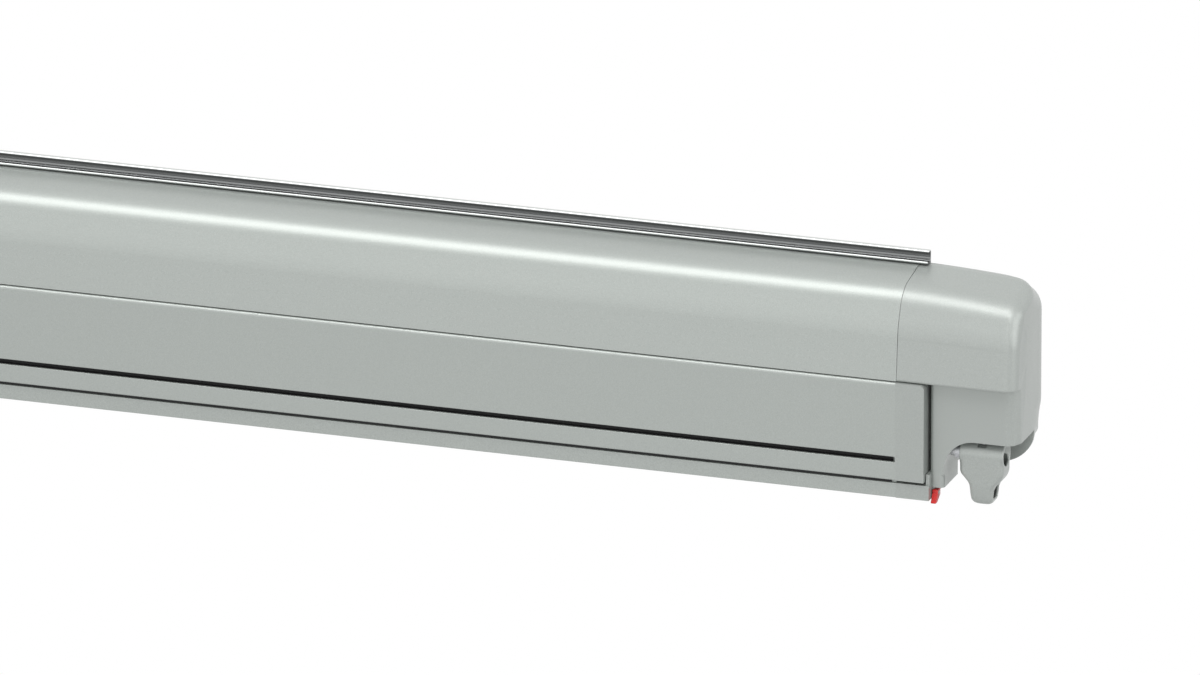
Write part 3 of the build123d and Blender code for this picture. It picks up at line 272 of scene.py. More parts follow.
def coated_cloth(name, dark, light):
    material, tree, shader = new_finish(name)
    place = tree.nodes.new("ShaderNodeTexCoord")
    threads = []
    for direction in ("X", "Y"):
        wave = tree.nodes.new("ShaderNodeTexWave")
        wave.bands_direction = direction
        wave.inputs["Scale"].default_value = thread_scale
        wave.inputs["Distortion"].default_value = 0.6
        tree.links.new(place.outputs["Object"], wave.inputs["Vector"])
        threads.append(wave)
    weave = tree.nodes.new("ShaderNodeMath")
    weave.operation = "MULTIPLY"
    tree.links.new(threads[0].outputs["Fac"], weave.inputs[0])
    tree.links.new(threads[1].outputs["Fac"], weave.inputs[1])
    cloud = object_noise(tree, 5, detail=4.0)
    tint = tones(tree, cloud, dark, light)
    tree.links.new(tint.outputs["Color"], shader.inputs["Base Color"])
    bump = tree.nodes.new("ShaderNodeBump")
    bump.inputs["Distance"].default_value = thread_height
    tree.links.new(weave.outputs["Value"], bump.inputs["Height"])
    tree.links.new(bump.outputs["Normal"], shader.inputs["Normal"])
    shader.inputs["Roughness"].default_value = 0.78
    shader.inputs["Sheen Weight"].default_value = 0.15
    return material


awning_cloth = coated_cloth("awning_fabric", (0.40, 0.43, 0.44), (0.47, 0.50, 0.51))
print("cloth ready")

# %% [markdown]
# The record already says which finish each measured part has. Reading it from there keeps
# one list in one place: a part that changes its finish there changes here as well.

# %% Give every measured part its finish
finishes = {
    "titanium_paint": titanium_paint,
    "titanium_plastic": titanium_plastic,
    "bare_aluminium": bare_aluminium,
    "cast_aluminium": cast_aluminium,
    "zinc_steel": zinc_steel,
    "brass": brass,
    "dark_plastic": dark_plastic,
    "white_nylon": white_nylon,
    "red_plastic": red_plastic,
    "awning_fabric": awning_cloth,
}
slot_of = {entry["node"]: entry["material_slot"] for entry in frame["record"]["subparts"]}
for name, part in nodes.items():
    part.data.materials.clear()
    part.data.materials.append(finishes[slot_of[name]])
print("finishes given to", len(slot_of), "parts")

# %% [markdown]
# The case, the lead bar and the gutter rail are extrusions: aluminium pushed through a die,
# so one flat section is the same over two and a half metres. The measured meshes of such
# long parts are coarse, and their curves would show as flat strips. The sections are drawn
# again here from their real sizes, with every corner given its true small radius. Two
# helpers do it: one turns a list of corners into a rounded outline, the other pushes
# outlines along X.

# %% Helpers that draw a rounded section and extrude it
MM = 0.001


def rounded(corners, radius, steps=4):
    """Closed outline through corners (y, z, own radius or nothing), in millimetres."""
    outline = []
    count = len(corners)
    for i, corner in enumerate(corners):
        here = Vector(corner[:2])
        before = Vector(corners[i - 1][:2]) - here
        after = Vector(corners[(i + 1) % count][:2]) - here
        own = corner[2] if len(corner) > 2 else radius
        half = before.angle(after) / 2
        if own == 0 or half > math.radians(89.5):
            outline.append(here)
            continue
        reach = min(own / math.tan(half), 0.48 * before.length, 0.48 * after.length)
        own = reach * math.tan(half)
        inwards = (before.normalized() + after.normalized()).normalized()
        centre = here + inwards * (own / math.sin(half))
        first = here + before.normalized() * reach - centre
        last = here + after.normalized() * reach - centre
        turn = first.angle_signed(last)
        parts = max(2, int(steps * own ** 0.5) + 1)
        for k in range(parts + 1):
            angle = -turn * k / parts
            cos_a, sin_a = math.cos(angle), math.sin(angle)
            arm = (first.x * cos_a - first.y * sin_a, first.x * sin_a + first.y * cos_a)
            outline.append(centre + Vector(arm))
    return outline


def circle_outline(y, z, radius, parts=32):
    turns = [2 * math.pi * k / parts for k in range(parts)]
    return [Vector((y + radius * math.cos(t), z + radius * math.sin(t))) for t in turns]


def extrusion(name, groups, x_start, x_end):
    """One object from groups of outlines, each an outer outline followed by its holes."""
    shape = bmesh.new()
    for outlines in groups:
        ends = ([], [])
        for outline in outlines:
            rings = []
            for end, x in enumerate((x_start, x_end)):
                ring = [shape.verts.new((x * MM, point.x * MM, point.y * MM)) for point in outline]
                size = len(ring)
                ends[end].extend(shape.edges.new((ring[k], ring[(k + 1) % size])) for k in range(size))
                rings.append(ring)
            for k in range(len(outline)):
                n = (k + 1) % len(outline)
                shape.faces.new((rings[0][k], rings[0][n], rings[1][n], rings[1][k]))
        for edges in ends:
            bmesh.ops.triangle_fill(shape, use_beauty=True, edges=edges)
    bmesh.ops.recalc_face_normals(shape, faces=shape.faces)
    return finish_mesh(name, shape)


def finish_mesh(name, shape, sharp=38):
    """Turn a bmesh into an object with smooth curves and crisp edges."""
    mesh = bpy.data.meshes.new(name)
    shape.to_mesh(mesh)
    shape.free()
    for face in mesh.polygons:
        face.use_smooth = True
    mesh.set_sharp_from_angle(angle=math.radians(sharp))
    piece = bpy.data.objects.new(name, mesh)
    bpy.context.scene.collection.objects.link(piece)
    normals = piece.modifiers.new("weighted", "WEIGHTED_NORMAL")
    normals.keep_sharp = True
    return piece


def dress(piece, body, finish, *replaced, slot=None):
    """Give a new piece its finish, its body and the measured parts it stands for."""
    piece.data.materials.clear()
    piece.data.materials.append(finish)
    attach(piece, body)
    if replaced:
        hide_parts(*replaced)
    return piece


# %% [markdown]
# The case is one open C: a front that bows out a little, a tight shoulder, a roof that
# climbs gently to the rail, and a tall back plate with the screw ports. Its front is drawn
# as corners with big radii, because that is how the die was cut. The inner wall is the same
# line moved two millimetres inwards.

# %% The case extrusion
half_length = 1228.0
front_corners = [(-86.0, 0.0, 0), (-83.2, 34.0, 40), (-73.5, 57.2, 20), (-41.0, 62.8, 3)]
outer_path = front_corners + [(-33.5, 62.8, 1.5), (0.0, 49.0, 1.5), (0.0, -62.0, 0.5)]
inner_path = [
    (-2.0, -62.0, 0.5),
    (-2.0, 47.7, 1.0),
    (-33.9, 60.8, 1.0),
    (-40.8, 60.8, 2.0),
    (-72.2, 55.4, 18),
    (-81.25, 33.7, 38),
    (-84.0, 0.0, 0),
]
case_groups = [[rounded(outer_path + inner_path, 0.5)]]
port_radius, port_bore = 4.95, 2.1
for port_y, port_z in ((-6.0, 39.0), (-6.0, -52.0), (-79.0, 10.0)):
    rim = circle_outline(port_y, port_z, port_radius)
    case_groups.append([rim, circle_outline(port_y, port_z, port_bore, 20)])
case_shell = extrusion("case_shell", case_groups, -half_length, half_length)
dress(case_shell, "case", titanium_paint, "case_profile")
print("case section points", len(case_groups[0][0]), "faces", len(case_shell.data.polygons))

# %% [markdown]
# The lead bar is the panel that travels outwards. Its section is one folded line: a rounded
# top edge, a channel for the hem of the cloth, a narrow slot in the face for hooks, and a
# deeper channel under it where the legs are stored.

# %% The lead bar extrusion
bar_corners = [
    (-88.0, -0.6, 1.8), (-88.0, -49.7), (-86.0, -49.7), (-86.0, -48.9), (-82.0, -48.9), (-82.0, -54.1),
    (-86.0, -54.1), (-86.0, -53.3), (-88.0, -53.3), (-88.0, -65.3, 0.8), (-84.1, -65.3), (-84.1, -67.6),
    (-86.0, -67.6, 0.6), (-86.0, -77.4, 0.6), (-82.5, -77.4), (-82.5, -56.9), (-61.5, -56.9), (-61.5, -77.4),
    (-59.9, -77.4), (-59.9, -55.3), (-80.4, -55.3), (-80.4, -47.3), (-86.0, -47.3), (-86.0, -17.6),
    (-66.0, -17.6), (-66.0, -16.0), (-86.0, -16.0), (-86.0, -2.6), (-66.0, -2.6), (-66.0, -0.6),
]
bar_hollow = [(-86.0, -55.7), (-84.1, -55.7), (-84.1, -63.7), (-86.0, -63.7)]
bar_outline = [rounded(bar_corners, 0.3), rounded(bar_hollow, 0.2)]
lead_bar = extrusion("lead_bar", [bar_outline], -half_length, half_length)
dress(lead_bar, "lead_bar", titanium_paint, "lead_bar_profile")
print("lead bar faces", len(lead_bar.data.polygons))

# %% [markdown]
# Black strips lie at the bottom of the face slot and of the groove under the panel. They are painted shade:
# both lines are deep recesses in shadow, and the black strips stand in for that shadow.

# %% Black strips of painted shade in the slot and the groove
strip_setback = 3.0
# Painted shade: black strips laid in the slot and the groove, where the recesses are in shadow.
slot_strip_outline = [(-82.0, -49.0), (-82.0, -54.0), (-85.9, -54.0), (-85.9, -53.5), (-82.7, -53.4), (-82.7, -49.0)]
groove_strip_outline = [(-84.1, -65.4), (-84.8, -65.4), (-84.8, -67.5), (-84.1, -67.5)]
strip_half = half_length - strip_setback
slot_shade_strip = extrusion("slot_shade_strip", [[rounded(slot_strip_outline, 0.15)]], -strip_half, strip_half)
groove_shade_strip = extrusion("groove_shade_strip", [[rounded(groove_strip_outline, 0.2)]], -strip_half, strip_half)
for shade_strip in (slot_shade_strip, groove_shade_strip):
    dress(shade_strip, "lead_bar", slot_shade_black, slot="dark_plastic")
print("seals laid in the lead bar")

# %% [markdown]
# The gutter rail on the roof is bare metal and polished by the die, so its lips catch the light as two thin
# bright lines. The dark channel between them is painted shade in the colour of the rail.

# %% The gutter rail
rail_corners = [
    (-39.3, 62.8, 0.2), (-39.3, 64.1, 0.3), (-41.0, 64.1, 0.45), (-41.0, 65.4, 0.6), (-39.6, 65.4, 0.5),
    (-39.0, 64.3, 0.6), (-36.6, 64.0, 2.0), (-34.7, 66.0, 2.0), (-34.7, 69.0, 1.6), (-35.6, 70.7, 0.6),
    (-37.0, 70.7, 0.25), (-37.1, 69.9, 0.25), (-38.1, 69.9, 0.3), (-38.1, 71.8, 0.9), (-34.4, 71.8, 0.9),
    (-33.5, 70.3, 1.0), (-33.5, 62.8, 0.2),
]
rail_half = half_length + 6
rail = extrusion("gutter_channel", [[rounded(rail_corners, 0.4, 6)]], -rail_half, rail_half)
dress(rail, "case", rail_metal, "gutter_rail", slot="bare_aluminium")
print("rail faces", len(rail.data.polygons))

# %% [markdown]
# The end cap is the moulding that everybody sees. Its section is the section of the case
# with a lower half that stands a few millimetres back, so the two halves meet in a ledge.
# Pushed along X that would be a block. What makes it a moulding is how it ends: the front and
# the roof turn into the side with a tight radius that catches the light as a crest, while the
# back sweeps round in a wide curve. So every point of the section carries the step that it
# takes inwards at the end, small at the front, large at the back.

# %% The section of the end cap and its steps
cap_end = 1307.2
seam_x = half_length + 0.25
roof_fall = 5.5
lower_front = -80.0
lower_bottom = -61.0
roof_start = -66.0
crest_step, back_step, foot_step, foot_reach = 9.0, 36.0, 24.0, 24.0
roof_corners = [(-38.0, 62.8, 6), (-33.5, 62.8, 5), (-18.0, 57.0, 0)]
cap_front = rounded([(-86.0, -40.0, 0)] + front_corners[1:3] + roof_corners, 0, 7)


def share_between(value, low, high):
    """Smooth share from 0 at low to 1 at high."""
    t = min(max((value - low) / (high - low), 0.0), 1.0)
    return t * t * (3 - 2 * t)


def cap_section():
    """Points (y, z) from the lower front corner up, over the roof, down the back and forward again."""
    lower = [(lower_front, lower_bottom + 59.6 * k / 16) for k in range(17)]
    turns = (0.31, 0.63, 0.94, 1.26, 1.57)
    ledge = [(lower_front - 1.2 * (1 - math.cos(t)), -1.4 + 1.2 * math.sin(t)) for t in turns]
    brow = [(-85.2, -0.1), (-85.7, 0.15), (-85.95, 0.7), (-85.98, 1.5)]
    upper = [(p.x, p.y) for p in cap_front if p.y > 3.0]
    corner = [(p.x, p.y) for p in rounded([(-18, 57.0, 0), (0, 49.6, 9), (0, 20, 0)], 0, 4)]
    wall = [(0.0, 30.0 - 91.0 * k / 22) for k in range(23)]
    floor_line = [(lower_front * k / 14, lower_bottom) for k in range(1, 14)]
    path = lower + ledge + brow + upper + corner[1:-1] + wall + floor_line
    return [path[0]] + [b for a, b in zip(path, path[1:]) if math.dist(a, b) > 0.05]


def end_steps(section):
    """How far each point moves in (y, z), and how far from the end it starts to move."""
    steps = []
    for y, z in section:
        corner = share_between(-z, 25.0, -lower_bottom) * share_between(y, -36.0, 0.0)
        if z <= lower_bottom + 0.01:
            dy = crest_step - (crest_step + back_step) * (y - lower_front) / -lower_front
        elif y > roof_start:
            dy = back_step * (y - roof_start) / roof_start
        else:
            on_roof = share_between(y, -83.0, roof_start) * share_between(z, 34.0, 50.0)
            dy = crest_step * math.cos(math.pi / 2 * on_roof)
        dz = foot_step * share_between(-z, 8.0, -lower_bottom) - crest_step * share_between(z, 20.0, 58.0)
        start = crest_step + (back_step - crest_step) * share_between(y, -49.0, -2.0)
        start = max(start, foot_reach * share_between(-z, 30.0, -lower_bottom))
        steps.append((dy - 9.0 * corner, dz + 8.0 * corner, start))
    return steps


outline = cap_section()
print("end cap section has", len(outline), "points")

# %% [markdown]
# The skin is then a stack of rings. The first ones run straight from the seam, the next ones
# follow a quarter circle, and the last ones close the side with a very flat dome, because a
# dead flat side would show one flat tone. The roof falls a little towards the end, and more
# so near the end, so the height of each point sinks with its distance from the seam.

# %% The skin of the end cap
dome = 0.8
straight_rings, turned_rings = 7, 16


def roof_drop(x, z):
    """How far a point sinks, because the roof falls towards the end."""
    out = (x - half_length) / (cap_end - half_length)
    return roof_fall * max(out, 0.0) ** 1.6 * min(max((z - 10.0) / 52.8, 0.0), 1.0)


def cap_rings():
    section = cap_section()
    steps = end_steps(section)
    side = cap_end - dome
    rings = []
    for k in range(straight_rings):
        share = k / straight_rings
        rings.append([
            (seam_x + (side - far - seam_x) * share, y, z)
            for (y, z), (dy, dz, far) in zip(section, steps)
        ])
    for k in range(turned_rings + 1):
        turn = math.radians(90 * k / turned_rings)
        away = 1 - math.cos(turn)
        rings.append([
            (side - far * (1 - math.sin(turn)), y + dy * away, z + dz * away)
            for (y, z), (dy, dz, far) in zip(section, steps)
        ])
    last = rings[-1]
    middle_y = sum(p[1] for p in last) / len(last)
    middle_z = sum(p[2] for p in last) / len(last)
    for share in (0.97, 0.9, 0.75, 0.5, 0.25):
        rings.append([
            (
                cap_end - dome * share**2 * (2 - share**2),
                middle_y + (y - middle_y) * share,
                middle_z + (z - middle_z) * share,
            )
            for x, y, z in last
        ])
    return rings


def cap_skin(name):
    shape = bmesh.new()
    rings = []
    for ring in cap_rings():
        rings.append([shape.verts.new((x * MM, y * MM, (z - roof_drop(x, z)) * MM)) for x, y, z in ring])
    count = len(rings[0])
    for near, far in zip(rings, rings[1:]):
        for k in range(count):
            n = (k + 1) % count
            shape.faces.new((near[k], near[n], far[n], far[k]))
    shape.faces.new(rings[0])
    shape.faces.new(rings[-1])
    bmesh.ops.recalc_face_normals(shape, faces=shape.faces)
    return finish_mesh(name, shape)


cap_right = cap_skin("end_cap_shell_right")
print("end cap skin has", len(cap_right.data.polygons), "faces")

# %% [markdown]
# Two things are cut from the cap: the corner where the end of the lead bar comes to rest, and
# the arch in which the winch hood hangs. A short leg under the cap, beside the arch, is
# joined on first. The cutters are extruded outlines too, so their corners are already
# rounded where the moulding is round.

# %% Cut the cap
def prism(name, outline, axis, low, high):
    """Closed block from an outline across one axis, pushed along that axis."""
    shape = bmesh.new()
    rings = []
    for level in (low, high):
        places = {
            "X": [(level, p.x, p.y) for p in outline],
            "Y": [(p.x, level, p.y) for p in outline],
            "Z": [(p.x, p.y, level) for p in outline],
        }[axis]
        rings.append([shape.verts.new((x * MM, y * MM, z * MM)) for x, y, z in places])
    size = len(outline)
    for k in range(size):
        shape.faces.new((rings[0][k], rings[0][(k + 1) % size], rings[1][(k + 1) % size], rings[1][k]))
    shape.faces.new(rings[0])
    shape.faces.new(rings[1])
    bmesh.ops.recalc_face_normals(shape, faces=shape.faces)
    return finish_mesh(name, shape)


def carve(piece, *cutters, operation="DIFFERENCE"):
    """Cut or join blocks with a piece, keep the result as its mesh, and drop the blocks."""
    for cutter in cutters:
        step = piece.modifiers.new("carve", "BOOLEAN")
        step.operation = operation
        step.solver = "EXACT"
        step.object = cutter
        bpy.context.view_layer.update()
        result = bpy.data.meshes.new_from_object(piece.evaluated_get(bpy.context.evaluated_depsgraph_get()))
        piece.modifiers.remove(step)
        piece.data = result
        bpy.data.objects.remove(cutter)
    return piece


step_x = half_length + 20.6
leg_x = half_length + 30.0
recess_back, arch_top, edge_radius = -58.0, -37.4, 2.6
past_left, past_right, past_front, past_below = 1200, 1330, -100, -100
leg_corners = [
    (seam_x, recess_back, 0), (step_x, recess_back, 0), (step_x, lower_front, 2.4),
    (leg_x, lower_front, 3), (leg_x, -50.0, 1), (seam_x, -50.0, 0),
]
carve(cap_right, prism("leg", rounded(leg_corners, 0), "Z", -69.9, -56.0), operation="UNION")
edge_turns = [math.pi / 20 * k for k in range(11)]
edge_arc = [
    (step_x + edge_radius * (1 - math.cos(t)), lower_front + edge_radius * (1 - math.sin(t)))
    for t in edge_turns
]
recess_corners = [(past_left, recess_back), (step_x, recess_back), *edge_arc]
recess_corners += [(step_x + edge_radius, past_front), (past_left, past_front)]
recess = [Vector(corner) for corner in recess_corners]
arch_corners = [
    (leg_x, arch_top, 20), (past_right, arch_top, 0),
    (past_right, past_below, 0), (leg_x, past_below, 0),
]
arch = rounded(arch_corners, 0, 6)
carve(cap_right, prism("recess", recess, "Z", -120, -0.05), prism("arch", arch, "Y", -120, -43))
print("carved end cap has", len(cap_right.data.polygons), "faces")

# %% [markdown]
# The cap is a moulding with a wall of three millimetres, open towards the case, because the
# winch gear turns inside it. The flat face at the seam is taken away, and Solidify gives
# what is left its wall on the inner side, so the outer skin keeps its exact place. Then the
# worm shaft gets its hole through the ceiling of the arch, on the winch side only.

# %% Hollow the cap
def open_at_seam(piece, seam):
    """Take away the faces that lie flat in the seam plane."""
    shape = bmesh.new()
    shape.from_mesh(piece.data)
    bmesh.ops.remove_doubles(shape, verts=shape.verts, dist=0.000005)
    flat = [face for face in shape.faces if all(abs(v.co.x - seam * MM) < 0.00002 for v in face.verts)]
    bmesh.ops.delete(shape, geom=flat, context="FACES")
    shape.to_mesh(piece.data)
    shape.free()
    return len(flat)


def walled(piece, thickness):
    wall = piece.modifiers.new("wall", "SOLIDIFY")
    wall.thickness = thickness * MM
    wall.offset = -1
    bpy.context.view_layer.update()
    result = bpy.data.meshes.new_from_object(piece.evaluated_get(bpy.context.evaluated_depsgraph_get()))
    piece.modifiers.remove(wall)
    piece.data = result


cap_wall = 3.0
taken = open_at_seam(cap_right, seam_x)
cap_right.modifiers.clear()
walled(cap_right, cap_wall)
print("seam faces taken away", taken, "cap now has", len(cap_right.data.polygons), "faces")

# %% [markdown]
# The case hangs on four bolts. They go through round holes near the ends of the back plate,
# two above the roller and two below it.

# %% Holes for the wall bolts
bolt_hole_radius = 4.25
for hole_x in (-1050.0, 1050.0):
    for hole_z in (-28.0, 28.0):
        hole = circle_outline(hole_x, hole_z, bolt_hole_radius)
        carve(case_shell, prism("bolt_hole", hole, "Y", -5, 3))
print("case faces with bolt holes", len(case_shell.data.polygons))

# %% [markdown]
# Booleans leave knife edges. A bevel limited by angle rounds them all by about a
# millimetre, which is what a moulding tool needs anyway, and the thin highlight that it
# gives is what makes plastic look like plastic.

# %% Round the cut edges and mirror the cap to the far end
def round_edges(piece, width, segments=3, angle=32):
    bevel = piece.modifiers.new("bevel", "BEVEL")
    bevel.width = width * MM
    bevel.segments = segments
    bevel.limit_method = "ANGLE"
    bevel.angle_limit = math.radians(angle)
    bevel.use_clamp_overlap = True
    bevel.harden_normals = False
    normals = piece.modifiers.new("weighted_last", "WEIGHTED_NORMAL")
    normals.keep_sharp = False
    return piece


def smooth_faces(piece):
    for face in piece.data.polygons:
        face.use_smooth = True


def mirrored(piece, name):
    """The same piece for the other end of the awning."""
    twin = bpy.data.objects.new(name, piece.data.copy())
    bpy.context.scene.collection.objects.link(twin)
    shape = bmesh.new()
    shape.from_mesh(twin.data)
    for vertex in shape.verts:
        vertex.co.x = -vertex.co.x
    bmesh.ops.reverse_faces(shape, faces=shape.faces)
    shape.to_mesh(twin.data)
    shape.free()
    return twin


smooth_faces(cap_right)
cap_left = mirrored(cap_right, "end_cap_shell_left")
winch_x, worm_y, shaft_hole_radius = half_length + 53.5, -69.0, 4.8
carve(cap_right, prism("shaft_hole", circle_outline(winch_x, worm_y, shaft_hole_radius), "Z", -48, -26))
for cap, node in ((cap_right, "end_cap_right"), (cap_left, "end_cap_left")):
    cap.modifiers.clear()
    round_edges(cap, 0.9)
    dress(cap, "case", titanium_plastic, node)
print("both end caps dressed")

# %% [markdown]
# The hood over the winch eye and the ring inside it are mouldings with no sharp edge at
# all. A voxel remesh turns such a solid into even small quads, and a few rounds of
# smoothing then rub every corner down together, as a moulding tool does. A cage of fixed
# points is not needed, because the smoothing is short.

# %% Rub a solid down to a moulding
def rubbed_down(piece, voxel, rounds):
    """Even quads of one size, then every corner rubbed down."""
    weld = piece.modifiers.new("weld", "WELD")
    weld.merge_threshold = 0.00001
    remesh = piece.modifiers.new("remesh", "REMESH")
    remesh.mode = "VOXEL"
    remesh.voxel_size = voxel * MM
    remesh.use_smooth_shade = True
    rub = piece.modifiers.new("rub", "SMOOTH")
    rub.factor = 0.5
    rub.iterations = rounds
    bpy.context.view_layer.update()
    result = bpy.data.meshes.new_from_object(piece.evaluated_get(bpy.context.evaluated_depsgraph_get()))
    piece.modifiers.clear()
    piece.data = result
    smooth_faces(piece)
    return piece


eye = bpy.data.objects.new("eye_forging", nodes["crank_eye"].data.copy())
bpy.context.scene.collection.objects.link(eye)
dress(rubbed_down(eye, 0.35, 4), "crank_eye", zinc_steel, "crank_eye")
print("eye faces", len(eye.data.polygons))

# %% [markdown]
# The hood is a barrel on the swing axis with a tongue that hangs from it. The tongue keeps
# the width of the barrel for a short way, draws in over two rounded shoulders and ends in a
# soft tip, so it is a stack of rounded rectangles, each with its own height. Inside it is
# hollow and open to the right, where the hook of the crank goes in.

# %% The winch hood
hood_x, hood_y, hood_z = half_length, worm_y, -47.4
barrel_radius, barrel_bore, hood_wall = 8.5, 7.0, 1.6
tongue_rings = [
    (-79.6, 50.5, 58.0, 4.5), (-79.3, 49.0, 59.3, 5.8), (-78.4, 47.6, 60.3, 7.0), (-76.8, 46.5, 60.8, 7.8),
    (-74.0, 46.0, 61.0, 8.2), (-70.0, 45.6, 61.4, 8.4), (-67.0, 45.2, 62.6, 8.5), (-65.0, 44.2, 64.6, 8.5),
    (-62.5, 42.0, 66.6, 8.5), (-60.0, 39.8, 67.6, 8.5), (-58.0, 39.1, 68.0, 8.5), (hood_z, 39.0, 68.0, 8.5),
]


def tongue(name, inset, radius):
    """Stack of rounded rectangles (z, left, right, half depth), each moved inwards by the inset."""
    shape = bmesh.new()
    stack = []
    for z, left, right, depth in tongue_rings:
        near, far, deep = hood_x + left + inset, hood_x + right - inset, depth - inset
        corners = [(near, hood_y - deep), (far, hood_y - deep), (far, hood_y + deep), (near, hood_y + deep)]
        plan = rounded(corners, radius)
        level = z + inset * (1.0 if z < hood_z else 0.0)
        stack.append([shape.verts.new((point.x * MM, point.y * MM, level * MM)) for point in plan])
    size = len(stack[0])
    for low, high in zip(stack, stack[1:]):
        for k in range(size):
            n = (k + 1) % size
            shape.faces.new((low[k], low[n], high[n], high[k]))
    shape.faces.new(stack[0])
    shape.faces.new(stack[-1])
    bmesh.ops.recalc_face_normals(shape, faces=shape.faces)
    return finish_mesh(name, shape)


def arc_outline(inner, outer, first, last, parts=24):
    """Outline of a ring sector round the swing axis; 90 degrees is up and 180 is the front."""
    turns = [math.radians(first + (last - first) * k / parts) for k in range(parts + 1)]
    out = [Vector((hood_y + outer * math.cos(t), hood_z + outer * math.sin(t))) for t in turns]
    back = [Vector((hood_y + inner * math.cos(t), hood_z + inner * math.sin(t))) for t in reversed(turns)]
    return out + back


hood = tongue("hood_moulding", 0.0, 3.0)
barrel = prism("barrel", circle_outline(hood_y, hood_z, barrel_radius, 64), "X", hood_x + 39, hood_x + 68)
carve(hood, barrel, operation="UNION")
rubbed_down(hood, 0.45, 8)
mouth = [(hood_y - 5.2, -76.5), (hood_y + 5.2, -76.5), (hood_y + 5.2, -66.5), (hood_y - 5.2, -66.5)]
carve(
    hood,
    prism("bore", circle_outline(hood_y, hood_z, barrel_bore, 48), "X", hood_x + 42, hood_x + 75),
    tongue("cavity", hood_wall, 2.0),
    prism("mouth", rounded(mouth, 2.5), "X", hood_x + 56, hood_x + 75),
    prism("axle_hole", circle_outline(hood_y, hood_z, 3.6, 32), "X", hood_x + 36, hood_x + 44),
    prism("neck_slot", arc_outline(5.0, 12.0, 72, 138), "X", winch_x - 2.9, winch_x + 2.9),
)
smooth_faces(hood)
dress(hood, "hood", titanium_plastic, "winch_hood")
shutter = prism("hood_shutter", arc_outline(6.1, 6.7, 38, 145), "X", winch_x - 4.5, winch_x + 4.5)
carve(shutter, prism("neck_hole", circle_outline(winch_x, hood_y, 2.3), "Z", hood_z, hood_z + 12))
dress(shutter, "case", titanium_plastic)
print("hood faces", len(hood.data.polygons), "shutter faces", len(shutter.data.polygons))

# %% [markdown]
# The measured parts that stay get their bevels now. The plastic ends of the lead bar are
# moulded and so a little softer than the castings, and the machined pins are crisper still.
# Flat shading is kept off by the weighted normals, which let the big faces stay flat while
# the bevels turn.

# %% Bevel the measured parts that stay visible
def soften(part, width, segments=2, angle=30):
    weld = part.modifiers.new("weld", "WELD")
    weld.merge_threshold = 0.00001
    round_edges(part, width, segments, angle)


soft_edges = {
    "lead_bar_cap_right": 1.0, "lead_bar_cap_left": 1.0, "lip_end_right": 0.7, "lip_end_left": 0.7,
    "release_lever_right": 0.5, "release_lever_left": 0.5, "leg_foot_right": 1.2, "leg_foot_left": 1.2,
    "leg_clamp_right": 0.6, "leg_clamp_left": 0.6, "hood_axle": 0.5, "gearbox_housing": 0.8,
    "shoulder_knuckle_right": 1.2, "shoulder_knuckle_left": 1.2,
    "elbow_fork_right": 1.2, "elbow_fork_left": 1.2,
    "elbow_tongue_right": 1.2, "elbow_tongue_left": 1.2, "hand_knuckle_right": 1.2, "hand_knuckle_left": 1.2,
    "shoulder_bracket_right": 0.8, "shoulder_bracket_left": 0.8, "hand_bracket_right": 0.8,
    "hand_bracket_left": 0.8, "leg_brackets": 0.5,
    "elbow_pin_right": 0.4, "elbow_pin_left": 0.4, "shoulder_pins": 0.4, "hand_pins": 0.4, "leg_pins": 0.3,
    "plate_screws": 0.2, "bracket_screws": 0.3, "side_plate_right": 0.3, "side_plate_left": 0.3,
}
for name, width in soft_edges.items():
    soften(nodes[name], width)
print("bevelled", len(soft_edges), "measured parts")

# %% [markdown]
# The arm tubes are drawn tubes with a plain rounded section, so they come from the same
# extrusion helper as the case, moved and turned to where the measured tubes lie. The arms
# are folded in a plane that falls away from the wall by eight degrees, so their outlines
# are turned by that angle first.

# %% Drawn tubes of the arms
def box_outline(y, z, width, height, radius, tilt):
    half_w, half_h = width / 2, height / 2
    corners = [(-half_w, -half_h), (half_w, -half_h), (half_w, half_h), (-half_w, half_h)]
    cos_a, sin_a = math.cos(tilt), math.sin(tilt)
    return [
        Vector((y + p.x * cos_a - p.y * sin_a, z + p.x * sin_a + p.y * cos_a))
        for p in rounded(corners, radius, 5)
    ]


arm_width, arm_height, arm_wall, arm_corner = 16, 24, 1.8, 5
arm_tilt = math.radians(8.0)


def arm_tube(body, node):
    low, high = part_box(node)
    y = (low.y + high.y) / 2 / MM
    z = (low.z + high.z) / 2 / MM
    inner = (arm_width - 2 * arm_wall, arm_height - 2 * arm_wall, arm_corner - arm_wall)
    outer = box_outline(y, z, arm_width, arm_height, arm_corner, arm_tilt)
    outlines = [outer, box_outline(y, z, *inner, arm_tilt)]
    tube = extrusion(f"{body}_tube", [outlines], low.x / MM, high.x / MM)
    return dress(tube, body, bare_aluminium, node)


for side in ("right", "left"):
    arm_tube(f"upper_arm_{side}", f"upper_arm_tube_{side}")
    arm_tube(f"forearm_{side}", f"forearm_tube_{side}")
print("arm tubes drawn")

# %% [markdown]
# The cloth is one piece in reality, but it is in three places: most of it is wound on the
# roller, a short free run hangs between the roll and the lead bar, and its end is sewn into
# a sleeve round the hem rod. The wound part is a spiral that grows by one thickness a turn,
# because that is what shows at the ends of the roll and what makes the roll soft to look at.

# %% The wound cloth
roll_low, roll_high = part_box("fabric_roll")
roll_centre = Vector(((roll_low.y + roll_high.y) / 2, (roll_low.z + roll_high.z) / 2))
cloth_half = roll_high.x
inner_turn = 0.0236
outer_turn = (roll_high.z - roll_low.z) / 2
turns = 12.36
steps_per_turn = 72
half_thickness = 0.0002


